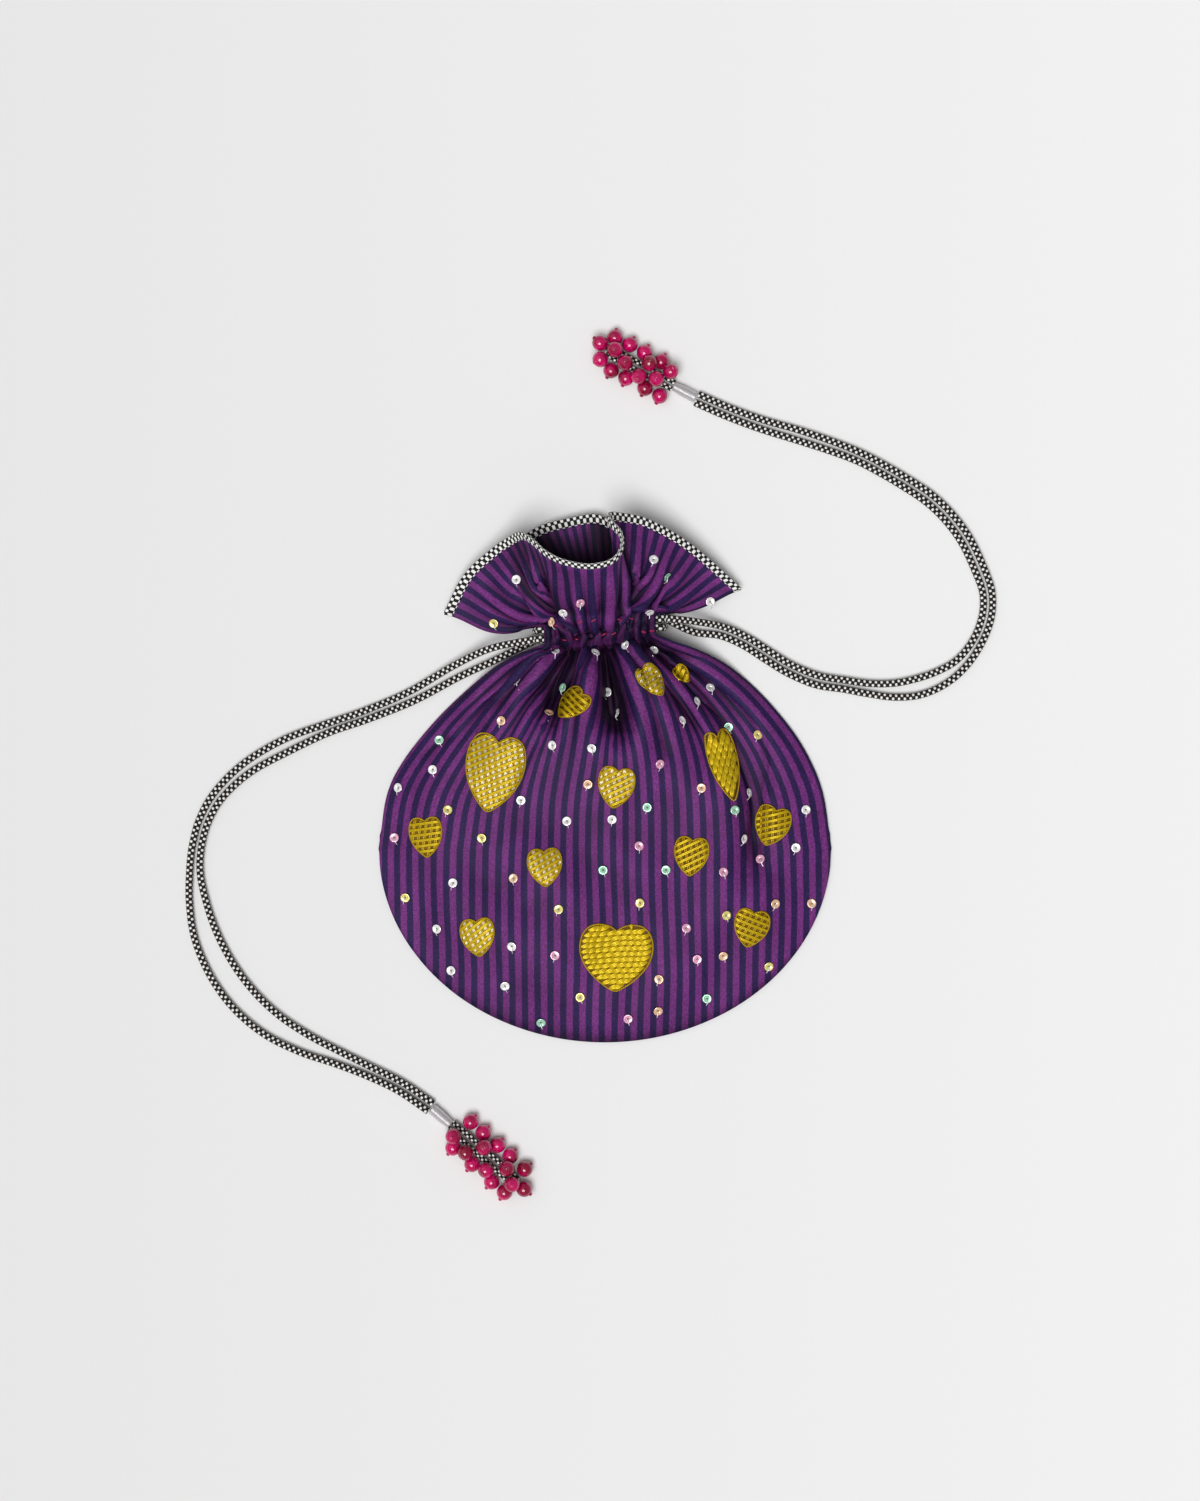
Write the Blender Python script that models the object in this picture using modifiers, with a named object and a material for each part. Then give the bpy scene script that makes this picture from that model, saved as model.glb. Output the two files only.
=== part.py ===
"""Potli bag: a round drawstring pouch of striped satin, lying flat on its back.

The mouth points to +Y, the front panel faces +Z and the back panel lies on the floor at Z = 0.
Sizes are in millimetres; MM turns them into Blender's metres where a mesh or a curve is made.
"""
import math

import bpy
import bmesh
import numpy as np
from mathutils import Matrix, Vector

MM = 0.001

# Cloth
PANEL_WIDTH = 227.0         # flat width of each panel, seam to seam
HEM_DEPTH = 97.0            # from the widest level down to the round hem
SHOULDER_HEIGHT = 105.0     # from the widest level up to the cord channel
WIDEST_Y = -35.5
CLOTH_THICKNESS = 0.8
GAP = 0.35                  # between pieces that touch
PILLOW_HEIGHT = 25.0        # highest ridge of the front panel below the neck
LOWER_HEIGHT = 14.0         # of the front panel over its seam in the lower half
HEM_ROUNDING = 70.0         # over which the front panel rises from its hem
FOLD_DEPTH = 10.0           # of the deepest valley below the neck

# Neck
NECK_LEFT_X = -30.0
NECK_RIGHT_X = 25.0
NECK_SLOPE = 0.10           # the gathered neck rises a little to the right
NECK_ARCH = 1.6             # and its middle stands a little further out
NECK_PLEAT = 2.6            # height of the small pleats at the neck
NECK_PLEATS = 11
TUNNEL_HOLE = 7.0           # clear height between the two casing strips
CASING_LENGTH = 46.0
CASING_THICKNESS = 0.6
CASING_FLANGE = 2.6
SEAM_RISE = 10.0            # height of the side seams beside the neck

# Ruffle
BINDING_WIDTH = 4.5
BINDING_THICKNESS = 2.0
RUFFLE_LENGTH = 55.0
LEFT_WING_DROOP = 6.0       # how far the ruffle's side seams sag towards the bag
RIGHT_WING_DROOP = 3.0

# Cords
CORD_DIAMETER = 3.8
LOOP_DIAMETER = 3.0
WRAP_DIAMETER = 5.4
WRAP_LENGTH = 12.0
CORD_STEP = 12.0            # between two points of a cord's route

# Trims
BEAD_DIAMETER = 8.0
BEAD_NUB = 1.8
HEART_THICKNESS = 0.9
HEART_GAP = 0.55

# Grid of the sheets
FRONT_COLUMNS = 54
BACK_COLUMNS = 36
FRONT_BODY_ROWS = 14
BACK_BODY_ROWS = 8
BAND_ROWS = 1
RUFFLE_ROWS = 6

HALF_WIDTH = PANEL_WIDTH / 2
NECK_X = (NECK_LEFT_X + NECK_RIGHT_X) / 2
NECK_Y = WIDEST_Y + SHOULDER_HEIGHT
BACK_PLEAT_TOP = NECK_PLEAT + CLOTH_THICKNESS
BACK_CORD_Z = BACK_PLEAT_TOP + GAP + CORD_DIAMETER / 2
BACK_WEB_Z = BACK_CORD_Z + CORD_DIAMETER / 2 + GAP + CASING_THICKNESS / 2
FRONT_WEB_Z = BACK_WEB_Z + TUNNEL_HOLE + CASING_THICKNESS
FRONT_CORD_Z = FRONT_WEB_Z + CASING_THICKNESS / 2 + GAP + CORD_DIAMETER / 2
FRONT_NECK_Z = FRONT_CORD_Z + CORD_DIAMETER / 2 + GAP
CORD_PITCH = CORD_DIAMETER + GAP
BAND_WIDTH = CORD_PITCH + CORD_DIAMETER + GAP
FLOOR_CORD_Z = CORD_DIAMETER / 2 + 0.05

# Shoulders of the bag, from the widest level to the neck's two ends
LEFT_SHOULDER = [(-HALF_WIDTH, WIDEST_Y), (-107.5, -3.5), (-86.5, 26.5), (-55.5, 54.5),
                 (NECK_LEFT_X, NECK_Y + NECK_SLOPE * (NECK_LEFT_X - NECK_X))]
RIGHT_SHOULDER = [(HALF_WIDTH, WIDEST_Y), (108.0, -3.5), (91.5, 26.5), (62.0, 55.5),
                  (NECK_RIGHT_X, NECK_Y + NECK_SLOPE * (NECK_RIGHT_X - NECK_X))]

# Valleys that gather the cloth: place at the neck, drift outwards on the way down,
# depth share, half width and how far down they reach
FRONT_VALLEYS = [(-97.0, 0.0, 0.4, 7.0, 0.50), (-62.0, -10.0, 0.65, 8.0, 0.42),
                 (-24.0, -34.0, 1.05, 8.5, 0.40), (1.0, 2.0, 1.3, 7.5, 0.62),
                 (36.0, 42.0, 1.05, 8.5, 0.80), (68.0, 22.0, 0.65, 7.5, 0.48),
                 (97.0, 0.0, 0.4, 7.0, 0.42)]
BACK_VALLEYS = [(-88.0, 0.0, 0.8, 9.0, 0.4), (-52.0, -12.0, 1.0, 9.0, 0.5),
                (-16.0, -6.0, 0.9, 9.0, 0.4), (20.0, 10.0, 1.0, 9.0, 0.5),
                (55.0, 12.0, 0.9, 9.0, 0.42), (90.0, 0.0, 0.7, 9.0, 0.4)]

# Edge of the ruffle, left seam to right seam, with its height off the floor
FRONT_RIM = [(-81.0, 83.0, 3.6), (-71.0, 101.5, 8.0), (-57.5, 114.0, 13.0), (-47.5, 120.5, 20.0),
             (-41.5, 122.5, 29.0), (-35.5, 118.5, 37.0), (-29.0, 112.5, 43.0), (-20.0, 108.0, 47.5),
             (-8.0, 105.8, 49.5), (2.5, 108.0, 49.0), (7.5, 114.0, 46.5), (7.5, 122.0, 42.0),
             (2.5, 128.5, 36.5), (2.0, 132.0, 30.5), (9.0, 131.8, 25.0), (19.0, 130.0, 21.0),
             (31.0, 124.5, 17.5), (43.0, 117.0, 14.0), (55.5, 107.0, 9.5), (68.5, 95.5, 4.6)]
BACK_RIM = [(-81.0, 82.0, 1.1), (-67.0, 99.0, 1.2), (-53.0, 111.0, 2.0), (-44.0, 119.5, 3.6),
            (-33.0, 126.5, 5.6), (-18.0, 130.5, 6.4), (-4.0, 132.3, 6.4), (7.0, 126.0, 4.6),
            (20.0, 121.0, 3.4), (34.0, 116.5, 2.4), (50.0, 105.5, 1.4), (68.5, 94.5, 1.1)]

# Doubled cords on the floor, neck to thread wrap: middle of the pair and the distance between
LEFT_ROUTE = [(-56.0, 62.0, 6.0), (-74.5, 53.5, 6.2), (-97.0, 41.0, 5.2), (-120.0, 31.5, 4.6),
              (-139.5, 24.8, 4.6), (-160.5, 16.0, 6.5), (-180.0, 4.8, 5.6), (-194.0, -8.5, 4.8),
              (-201.5, -21.5, 4.6), (-205.0, -34.5, 4.6), (-206.0, -48.0, 5.4),
              (-204.5, -63.0, 8.5), (-200.5, -79.5, 11.5), (-192.5, -96.5, 13.0),
              (-181.5, -111.5, 13.2), (-167.5, -124.0, 12.0), (-151.0, -133.5, 9.5),
              (-134.5, -140.5, 6.6), (-118.5, -147.5, 5.0), (-103.0, -155.0, 4.7),
              (-87.5, -165.5, 4.6)]
RIGHT_ROUTE = [(44.5, 75.8, 5.0), (58.5, 73.6, 4.6), (70.5, 68.5, 4.6), (81.5, 61.5, 4.6),
               (93.0, 54.5, 4.6), (106.5, 49.0, 4.8), (120.0, 46.8, 4.6), (132.5, 44.8, 5.2),
               (145.0, 44.0, 7.0), (157.0, 45.6, 8.4), (168.5, 50.0, 7.6), (178.5, 57.0, 5.6),
               (186.5, 67.5, 4.6), (191.5, 80.0, 4.6), (192.0, 93.0, 4.6), (187.5, 106.0, 4.7),
               (181.0, 119.5, 4.7), (172.5, 131.0, 4.7), (162.5, 140.5, 4.7), (150.0, 148.8, 4.6),
               (138.0, 155.8, 4.6), (127.0, 161.4, 4.6), (113.5, 166.6, 4.9), (96.5, 172.2, 5.2),
               (79.0, 177.4, 4.8), (62.0, 183.6, 4.6), (46.0, 190.6, 4.6)]

# Tassels: the wrap's direction and the loop's length past it
LEFT_TASSEL_TURN = math.radians(-41.0)
RIGHT_TASSEL_TURN = math.radians(152.0)
LEFT_LOOP_LENGTH = 43.0
RIGHT_LOOP_LENGTH = 37.0
LOOP_SPREAD = 3.9

# Where each bead starts, along the loop and across it, before the beads settle against the cord
LEFT_BEADS = [(4.8, -3.0), (7.2, 6.2), (8.3, -7.2), (14.2, -4.8), (14.0, 7.5), (19.6, 2.6),
              (20.8, -6.6), (25.2, 7.4), (28.0, -4.6), (32.0, 8.0), (35.4, -5.8), (35.6, 2.6),
              (41.0, -6.6), (42.3, 7.0), (45.0, -1.0), (49.6, -0.6)]
RIGHT_BEADS = [(4.0, 5.5), (5.0, -4.6), (10.0, 1.0), (12.3, 7.4), (13.4, -6.3), (18.6, 3.2),
               (20.8, 7.8), (22.3, -6.3), (26.4, 1.8), (29.6, -6.9), (30.6, 7.4), (34.2, -1.8),
               (37.4, -8.4), (39.0, 5.4), (42.4, -3.6), (15.4, -0.4)]

# Hearts: middle, width, height and turn in degrees, as they lie seen from above
HEARTS = [(-16.0, 37.0, 17.5, 16.0, -38.0), (23.0, 48.5, 13.5, 17.0, 32.0),
          (38.5, 52.0, 9.0, 9.0, 34.0), (-55.5, 2.5, 29.5, 38.0, -10.0), (5.5, -4.5, 18.0, 20.0, -8.0),
          (59.5, 6.5, 15.0, 36.0, 10.0), (83.5, -24.0, 17.5, 19.5, -16.0),
          (-89.5, -29.5, 16.5, 19.5, 4.0), (-30.0, -44.5, 17.0, 18.5, 4.0),
          (43.0, -39.0, 17.0, 19.0, -6.0), (-63.5, -79.5, 17.0, 18.5, 6.0),
          (5.5, -89.5, 37.0, 33.0, -2.0), (73.0, -75.0, 17.5, 18.5, -12.0)]

# Right half of a heart one unit wide and one unit high, from its notch to its tip
HEART_HALF = [(0.0, 0.40), (0.09, 0.465), (0.22, 0.50), (0.355, 0.475), (0.455, 0.37),
              (0.50, 0.20), (0.485, 0.02), (0.41, -0.16), (0.285, -0.32), (0.13, -0.455),
              (0.0, -0.52)]


def smooth_line(points, count=0, step=0.0):
    """Points at even distances along a Catmull-Rom curve through hand-chosen points."""
    pts = np.array(points, float)
    ends = np.vstack([2 * pts[0] - pts[1], pts, 2 * pts[-1] - pts[-2]])
    u = np.linspace(0, 1, 24, endpoint=False)[:, None]
    runs = []
    for a, b, c, d in zip(ends, ends[1:], ends[2:], ends[3:]):
        runs.append(0.5 * (2 * b + (c - a) * u + (2 * a - 5 * b + 4 * c - d) * u ** 2
                           + (3 * b - a - 3 * c + d) * u ** 3))
    line = np.vstack(runs + [pts[-1:]])
    along = np.concatenate([[0], np.cumsum(np.linalg.norm(np.diff(line, axis=0), axis=1))])
    total = count or max(2, int(round(along[-1] / step)) + 1)
    where = np.linspace(0, along[-1], total)
    return np.stack([np.interp(where, along, line[:, k]) for k in range(line.shape[1])], axis=1)


def read_line(line, share):
    """Points of an even line at shares 0 to 1 of its length."""
    index = np.clip(share, 0, 1) * (len(line) - 1)
    return np.stack([np.interp(index, np.arange(len(line)), line[:, k])
                     for k in range(line.shape[1])], axis=-1)


def ease(low, high, value):
    t = np.clip((value - low) / (high - low), 0, 1)
    return t * t * (3 - 2 * t)


LEFT_EDGE = smooth_line(LEFT_SHOULDER, 200)
RIGHT_EDGE = smooth_line(RIGHT_SHOULDER, 200)
CLOTH = np.linspace(-HALF_WIDTH, HALF_WIDTH, 721)


def hem_y(s):
    return WIDEST_Y - HEM_DEPTH * np.sqrt(np.maximum(0, 1 - (s / HALF_WIDTH) ** 2))


def gathered(s, share, valleys):
    """Where a cloth point lies across its row, 0 to 1: the valleys swallow the spare cloth."""
    width = read_line(RIGHT_EDGE, share)[0] - read_line(LEFT_EDGE, share)[0]
    ratio = min(1.0, width / PANEL_WIDTH)
    pull = 0.14 + sum(depth * np.exp(-np.abs((CLOTH - place - drift * (1 - share)) / half) ** 1.7)
                      for place, drift, depth, half, reach in valleys)
    low, high = 0.0, 400.0
    for _ in range(40):
        middle = (low + high) / 2
        if np.mean(1 / (1 + middle * pull)) > ratio:
            low = middle
        else:
            high = middle
    spread = np.concatenate([[0], np.cumsum(1 / (1 + low * pull[1:]))])
    return np.interp(s, CLOTH, spread / spread[-1])


def row_place(across, share):
    """Plan position on the row at this share of the way up, 0 to 1 across it."""
    left, right = read_line(LEFT_EDGE, share), read_line(RIGHT_EDGE, share)
    x = left[0] + (right[0] - left[0]) * across
    straight = left[1] + (right[1] - left[1]) * across
    middle = WIDEST_Y + (NECK_Y + NECK_ARCH - WIDEST_Y) * share
    arch = middle - (left[1] + right[1]) / 2
    return x, straight + arch * (1 - np.abs(2 * across - 1) ** 1.9)


def neck_row(s, valleys):
    """The lower edge of the cord channel, with the wave of its small pleats."""
    across = gathered(s, 1.0, valleys)
    x, y = row_place(across, 1.0)
    wave = 0.5 + 0.5 * np.cos(2 * math.pi * NECK_PLEATS * across)
    return x, y, wave


def panel_plan(s, y_cloth, valleys):
    """Plan position of the body's cloth point (s, y_cloth), with its share of the way up."""
    share = np.clip((y_cloth - WIDEST_Y) / SHOULDER_HEIGHT, 0, 1)
    x = np.array(s, float)
    y = np.array(y_cloth, float)
    for k, f in enumerate(share):
        if f <= 0:
            continue
        x[k], y[k] = row_place(gathered(s[k], f, valleys), f)
    return x, y, share


def seam_height(share):
    """Height of the side seams, where the two panels meet."""
    return SEAM_RISE * ease(0.62, 0.93, share)


def pillow(s, y_cloth, share):
    """How far the front panel stands over its seam."""
    hem = hem_y(s)
    up_hem = np.clip((y_cloth - hem) / HEM_ROUNDING, 0, 1)
    rise = (1 - (1 - up_hem) ** 2.2) ** 0.8
    side = np.clip(1 - np.abs(s) / HALF_WIDTH, 0, 1)
    round_side = (1 - (1 - side) ** 2.6) ** 0.8
    crown = LOWER_HEIGHT + (PILLOW_HEIGHT - LOWER_HEIGHT) * ease(0.05, 0.75, share)
    return crown * rise * round_side


def valley_depth(s, share, valleys):
    total = np.zeros_like(s)
    for place, drift, depth, half, reach in valleys:
        start = 1 - reach
        along = ease(start, start + 0.6 * reach, share)
        wide = half * (1.6 - 0.6 * share)
        total += depth * along * np.exp(-np.abs((s - place - drift * (1 - share)) / wide) ** 1.7)
    return total


def front_body(s, y_cloth):
    """Lower side of the front panel between the hem and the neck."""
    x, y, share = panel_plan(s, y_cloth, FRONT_VALLEYS)
    seam = CLOTH_THICKNESS + GAP + seam_height(share)
    soft = 1.3 * np.sin(s / 19.0 + y_cloth / 30.0) + 0.9 * np.sin(s / 12.0 - y_cloth / 21.0 + 1.0)
    lift = pillow(s, y_cloth, share)
    z = seam + lift + soft * lift / 15.0
    z -= FOLD_DEPTH * valley_depth(s, share, FRONT_VALLEYS) * np.clip(lift / 10.0, 0, 1)
    wave = neck_row(s, FRONT_VALLEYS)[2]
    neck = ease(0.80, 1.0, share)
    neck_z = FRONT_NECK_Z + NECK_PLEAT * wave
    return x, y, z * (1 - neck) + neck_z * neck


def back_body(s, y_cloth):
    """Lower side of the back panel: flat on the floor, with pleats towards the neck."""
    x, y, share = panel_plan(s, y_cloth, BACK_VALLEYS)
    edge = np.abs(s) / HALF_WIDTH
    z = seam_height(share) * edge ** 6
    z += 3.2 * valley_depth(s, share, BACK_VALLEYS) * (1 - edge ** 4)
    wave = neck_row(s, BACK_VALLEYS)[2]
    neck = ease(0.86, 1.0, share)
    return x, y, z * (1 - neck) + NECK_PLEAT * wave * neck


def band(s, share, valleys, neck_z):
    """Lower side of the cord channel: pleats that run straight across it."""
    x, y, wave = neck_row(s, valleys)
    return x, y + BAND_WIDTH * share, neck_z + NECK_PLEAT * wave


def ruffle(s, share, valleys, rim_line, neck_z, bulge):
    """Lower side of the ruffle, ruled from the channel to its rim, its side seams drawn shut."""
    start = np.stack(band(s, np.ones_like(s), valleys, neck_z), axis=1)
    rim = read_line(rim_line, (s + HALF_WIDTH) / PANEL_WIDTH)
    out = share[:, None]
    side = (np.abs(s) / HALF_WIDTH) ** 6
    points = start * (1 - out) + rim * out
    droop = np.where(s < 0, LEFT_WING_DROOP, RIGHT_WING_DROOP) * (np.abs(s) / HALF_WIDTH) ** 4
    points[:, 1] -= droop * np.sin(math.pi * share) ** 2
    points[:, 2] += bulge * (1 - side) * 4 * share * (1 - share)
    shut = side * ease(0.0, 0.3, share)
    seam = SEAM_RISE * (1 - share) ** 1.3 + BACK_RIM[0][2] * share
    if neck_z > 0:
        seam = seam + CLOTH_THICKNESS + GAP
        seam = seam + (rim[:, 2] - seam) * ease(0.7, 1.0, share)
    points[:, 2] = points[:, 2] * (1 - shut) + seam * shut
    return points[:, 0], points[:, 1], points[:, 2]


FRONT_RIM_LINE = smooth_line(FRONT_RIM, 400)
BACK_RIM_LINE = smooth_line(BACK_RIM, 400)
BINDING_SHARE = 1 - BINDING_WIDTH / RUFFLE_LENGTH
GAP_SHARE = GAP / RUFFLE_LENGTH


def front_ruffle(s, share):
    return ruffle(s, share, FRONT_VALLEYS, FRONT_RIM_LINE, FRONT_NECK_Z, 2.0)


def back_ruffle(s, share):
    return ruffle(s, share, BACK_VALLEYS, BACK_RIM_LINE, 0.0, 0.0)


def front_band(s, share):
    return band(s, share, FRONT_VALLEYS, FRONT_NECK_Z)


def back_band(s, share):
    return band(s, share, BACK_VALLEYS, 0.0)


def columns(count):
    turn = np.linspace(-1, 1, count + 1)
    return HALF_WIDTH * (0.72 * turn + 0.28 * np.sin(turn * math.pi / 2))


def panel_grid(body, channel, frill, column_count, body_rows):
    """Rows of points from the hem to the top of the ruffle."""
    s = columns(column_count)
    rows = []
    top = WIDEST_Y + SHOULDER_HEIGHT
    for v in np.linspace(0, 1, body_rows + 1) ** 0.9:
        hem = hem_y(s)
        rows.append(np.stack(body(s, hem + v * (top - hem)), axis=1))
    for r in np.linspace(0, 1, BAND_ROWS + 1)[1:]:
        rows.append(np.stack(channel(s, np.full_like(s, r)), axis=1))
    for r in np.linspace(0, BINDING_SHARE - GAP_SHARE, RUFFLE_ROWS + 1)[1:]:
        rows.append(np.stack(frill(s, np.full_like(s, r)), axis=1))
    return np.array(rows)


def strip_grid(frill, column_count):
    s = columns(column_count)
    rows = [np.stack(frill(s, np.full_like(s, r)), axis=1) for r in (BINDING_SHARE, 1.0)]
    return np.array(rows)


def steady_normals(grid, passes):
    """Normals of a grid of points, evened out along its rows so that a wall stays simple."""
    across = np.gradient(grid, axis=1)
    upward = np.gradient(grid, axis=0)
    normal = np.cross(across, upward)
    normal /= np.linalg.norm(normal, axis=2, keepdims=True) + 1e-9
    for _ in range(passes):
        padded = np.concatenate([normal[:, :1], normal, normal[:, -1:]], axis=1)
        normal = padded[:, :-2] + 2 * padded[:, 1:-1] + padded[:, 2:]
        normal /= np.linalg.norm(normal, axis=2, keepdims=True)
    return normal


def material(name, colour, roughness, metallic=0.0):
    mat = bpy.data.materials.new(name)
    mat.use_nodes = True
    shader = mat.node_tree.nodes["Principled BSDF"]
    shader.inputs["Base Color"].default_value = (*colour, 1)
    shader.inputs["Roughness"].default_value = roughness
    shader.inputs["Metallic"].default_value = metallic
    return mat


def finish(name, mesh, mat, smooth=True):
    """Put a mesh or a curve into the bag's collection as one named object."""
    mesh.materials.append(mat)
    if smooth and isinstance(mesh, bpy.types.Mesh):
        mesh.shade_smooth()
    piece = bpy.data.objects.new(name, mesh)
    BAG.objects.link(piece)
    return piece


def sheet(name, grid, below, above, mat, passes=3):
    """A wall of cloth: a flat grid laid on the given points and extruded to its thickness."""
    rows, cols = grid.shape[:2]
    normal = steady_normals(grid, passes)
    low = grid - below * normal
    high = grid + above * normal
    bm = bmesh.new()
    bmesh.ops.create_grid(bm, x_segments=cols - 1, y_segments=rows - 1, size=1)
    spots = {}
    for vert in bm.verts:
        col = int(round((vert.co.x + 1) / 2 * (cols - 1)))
        row = int(round((vert.co.y + 1) / 2 * (rows - 1)))
        spots[vert] = (row, col)
        vert.co = Vector(high[row, col]) * MM
    bm.normal_update()
    lower = bmesh.ops.duplicate(bm, geom=bm.verts[:] + bm.edges[:] + bm.faces[:])
    pairs = lower["vert_map"]
    flipped = [item for item in lower["geom"] if isinstance(item, bmesh.types.BMFace)]
    for vert, spot in spots.items():
        pairs[vert].co = Vector(low[spot]) * MM
    bmesh.ops.reverse_faces(bm, faces=flipped)
    rims = [edge for edge in bm.edges if edge.is_boundary]
    bmesh.ops.bridge_loops(bm, edges=rims)
    bmesh.ops.triangulate(bm, faces=bm.faces[:])
    bmesh.ops.recalc_face_normals(bm, faces=bm.faces[:])
    mesh = bpy.data.meshes.new(name)
    bm.to_mesh(mesh)
    bm.free()
    return finish(name, mesh, mat)


def tube(name, points, diameter, mat, resolution=2):
    """A cord: a poly curve with a round bevel and filled ends."""
    curve = bpy.data.curves.new(name, "CURVE")
    curve.dimensions = "3D"
    curve.bevel_depth = diameter / 2 * MM
    curve.bevel_resolution = resolution
    curve.render_resolution_u = 0
    curve.use_fill_caps = True
    spline = curve.splines.new("POLY")
    spline.points.add(len(points) - 1)
    for spot, point in zip(spline.points, points):
        spot.co = (*(Vector(point) * MM), 1)
    return finish(name, curve, mat)


def strand(route, side, exit_point, exit_heights):
    """One of a pair of strands, from the neck's end down to the floor and on to the wrap."""
    points = [exit_point]
    flat = np.array([row[:2] for row in route])
    ahead = np.gradient(flat, axis=0)
    ahead /= np.linalg.norm(ahead, axis=1, keepdims=True)
    for k, (x, y, spread) in enumerate(route):
        height = exit_heights[k] if k < len(exit_heights) else FLOOR_CORD_Z
        points.append((x - ahead[k, 1] * side * spread / 2, y + ahead[k, 0] * side * spread / 2,
                       height))
    return points


def tunnel_y(x, side):
    return NECK_Y + BAND_WIDTH / 2 + NECK_SLOPE * (x - NECK_X) + NECK_ARCH / 2 + side * CORD_PITCH / 2


def drawstring(name, route, near_x, far_x, side, upper_side, mat):
    """Strand out of the front tunnel, round the far end of the neck and back out below."""
    turn = math.copysign(4.5, far_x)
    near_out = near_x - math.copysign(5.0, far_x)
    inner = np.linspace(near_x, far_x, 4)
    front = [(x, tunnel_y(x, side), FRONT_CORD_Z) for x in inner]
    back = [(x, tunnel_y(x, side), BACK_CORD_Z) for x in inner[::-1]]
    middle_z = (FRONT_CORD_Z + BACK_CORD_Z) / 2
    half = (FRONT_CORD_Z - BACK_CORD_Z) / 2
    bend = [(far_x + turn * math.sin(a), tunnel_y(far_x, side), middle_z + half * math.cos(a))
            for a in (0.25 * math.pi, 0.5 * math.pi, 0.75 * math.pi)]
    upper = strand(route, upper_side, (near_out, tunnel_y(near_out, side), FRONT_CORD_Z - 0.4),
                   (12.0, 4.6))
    lower = strand(route, -upper_side, (near_out, tunnel_y(near_out, side), BACK_CORD_Z - 0.2),
                   (3.0,))
    points = upper[::-1] + front + bend + back + lower
    return tube(name, smooth_line(points, step=CORD_STEP), CORD_DIAMETER, mat)


def tassel(side, route, turn, loop_length, spots, cord_mat, wrap_mat, bead_mat):
    """Thread wrap, loop of cord and beads at a drawstring's end."""
    start = np.array([*route[-1][:2], 0.0])
    ahead = np.array([math.cos(turn), math.sin(turn), 0.0])
    across = np.array([-ahead[1], ahead[0], 0.0])
    up = np.array([0.0, 0.0, 1.0])
    base = start + ahead * (GAP + CORD_DIAMETER / 2 * 0.2)
    wrap_z = WRAP_DIAMETER / 2 + 0.05
    wrap = [base + ahead * d + up * wrap_z for d in np.linspace(0, WRAP_LENGTH, 4)]
    tube(side + "_wrap", wrap, WRAP_DIAMETER, wrap_mat)
    root = base + ahead * (WRAP_LENGTH + 2 * GAP)
    loop_z = LOOP_DIAMETER / 2 + 2.6
    half = LOOP_SPREAD / 2
    reach = loop_length - half
    loop = [root + across * half * 0.9 + up * wrap_z]
    loop += [root + across * half + ahead * d + up * loop_z for d in (6.0, reach * 0.5, reach)]
    loop += [root + ahead * loop_length + up * loop_z]
    loop += [root - across * half + ahead * d + up * loop_z for d in (reach, reach * 0.5, 6.0)]
    loop += [root - across * half * 0.9 + up * wrap_z]
    cord = smooth_line(loop, step=LOOP_DIAMETER)
    tube(side + "_bead_loop", cord, LOOP_DIAMETER, cord_mat)
    for k, (centre, lean) in enumerate(settle_beads(cord, spots, root, ahead, across)):
        bead("%s_bead_%02d" % (side, k + 1), centre, lean, bead_mat)


def settle_beads(cord, spots, root, ahead, across):
    """Beads round the loop, pushed apart until none touches its neighbour or the cord."""
    radius = BEAD_DIAMETER / 2
    centres = []
    for along, beside in spots:
        height = radius + (BEAD_DIAMETER - radius) * (abs(beside) < BEAD_DIAMETER / 2 + 1.5)
        centres.append(root + ahead * along + across * beside + np.array([0.0, 0.0, height]))
    centres = np.array(centres)
    cord_clear = radius + LOOP_DIAMETER / 2 + GAP
    rail = smooth_line(cord, 120)
    for _ in range(900):
        for k, centre in enumerate(centres):
            nearest = rail[np.argmin(np.linalg.norm(rail - centre, axis=1))]
            away = centre - nearest
            distance = np.linalg.norm(away)
            centres[k] += away / distance * (cord_clear - distance) * 0.5
        for a in range(len(centres)):
            for b in range(a + 1, len(centres)):
                away = centres[b] - centres[a]
                distance = np.linalg.norm(away)
                push = max(0.0, BEAD_DIAMETER + GAP - distance) * 0.5
                centres[a] -= away / distance * push
                centres[b] += away / distance * push
        back_off = (centres - root) @ ahead
        centres += np.outer(np.maximum(0, 3.0 - back_off), ahead)
        centres[:, 2] = np.maximum(centres[:, 2], radius + 0.1)
    for centre in centres:
        nearest = rail[np.argmin(np.linalg.norm(rail - centre, axis=1))]
        lean = centre - nearest
        lean[2] = max(lean[2], -0.1)
        yield centre, Vector(lean).normalized()


def bead(name, centre, lean, mat):
    """A round bead with its small threading nub: one turned profile."""
    radius = BEAD_DIAMETER / 2
    nub = BEAD_NUB / 2
    profile = [(0.0, radius + 0.7), (nub * 0.8, radius + 0.5), (nub, radius - 0.1)]
    profile += [(radius * math.cos(a), radius * math.sin(a))
                for a in np.radians((40.0, 0.0, -45.0))]
    profile += [(0.0, -radius)]
    mesh = bpy.data.meshes.new(name)
    edges = [(k, k + 1) for k in range(len(profile) - 1)]
    mesh.from_pydata([(r * MM, 0, h * MM) for r, h in profile], edges, [])
    piece = finish(name, mesh, mat, smooth=False)
    screw = piece.modifiers.new("Turn", "SCREW")
    screw.axis = "Z"
    screw.steps = 8
    screw.render_steps = 8
    screw.use_merge_vertices = True
    screw.merge_threshold = 0.00001
    piece.rotation_mode = "QUATERNION"
    piece.rotation_quaternion = Vector((0, 0, 1)).rotation_difference(lean)
    piece.location = Vector(centre) * MM
    return piece


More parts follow.
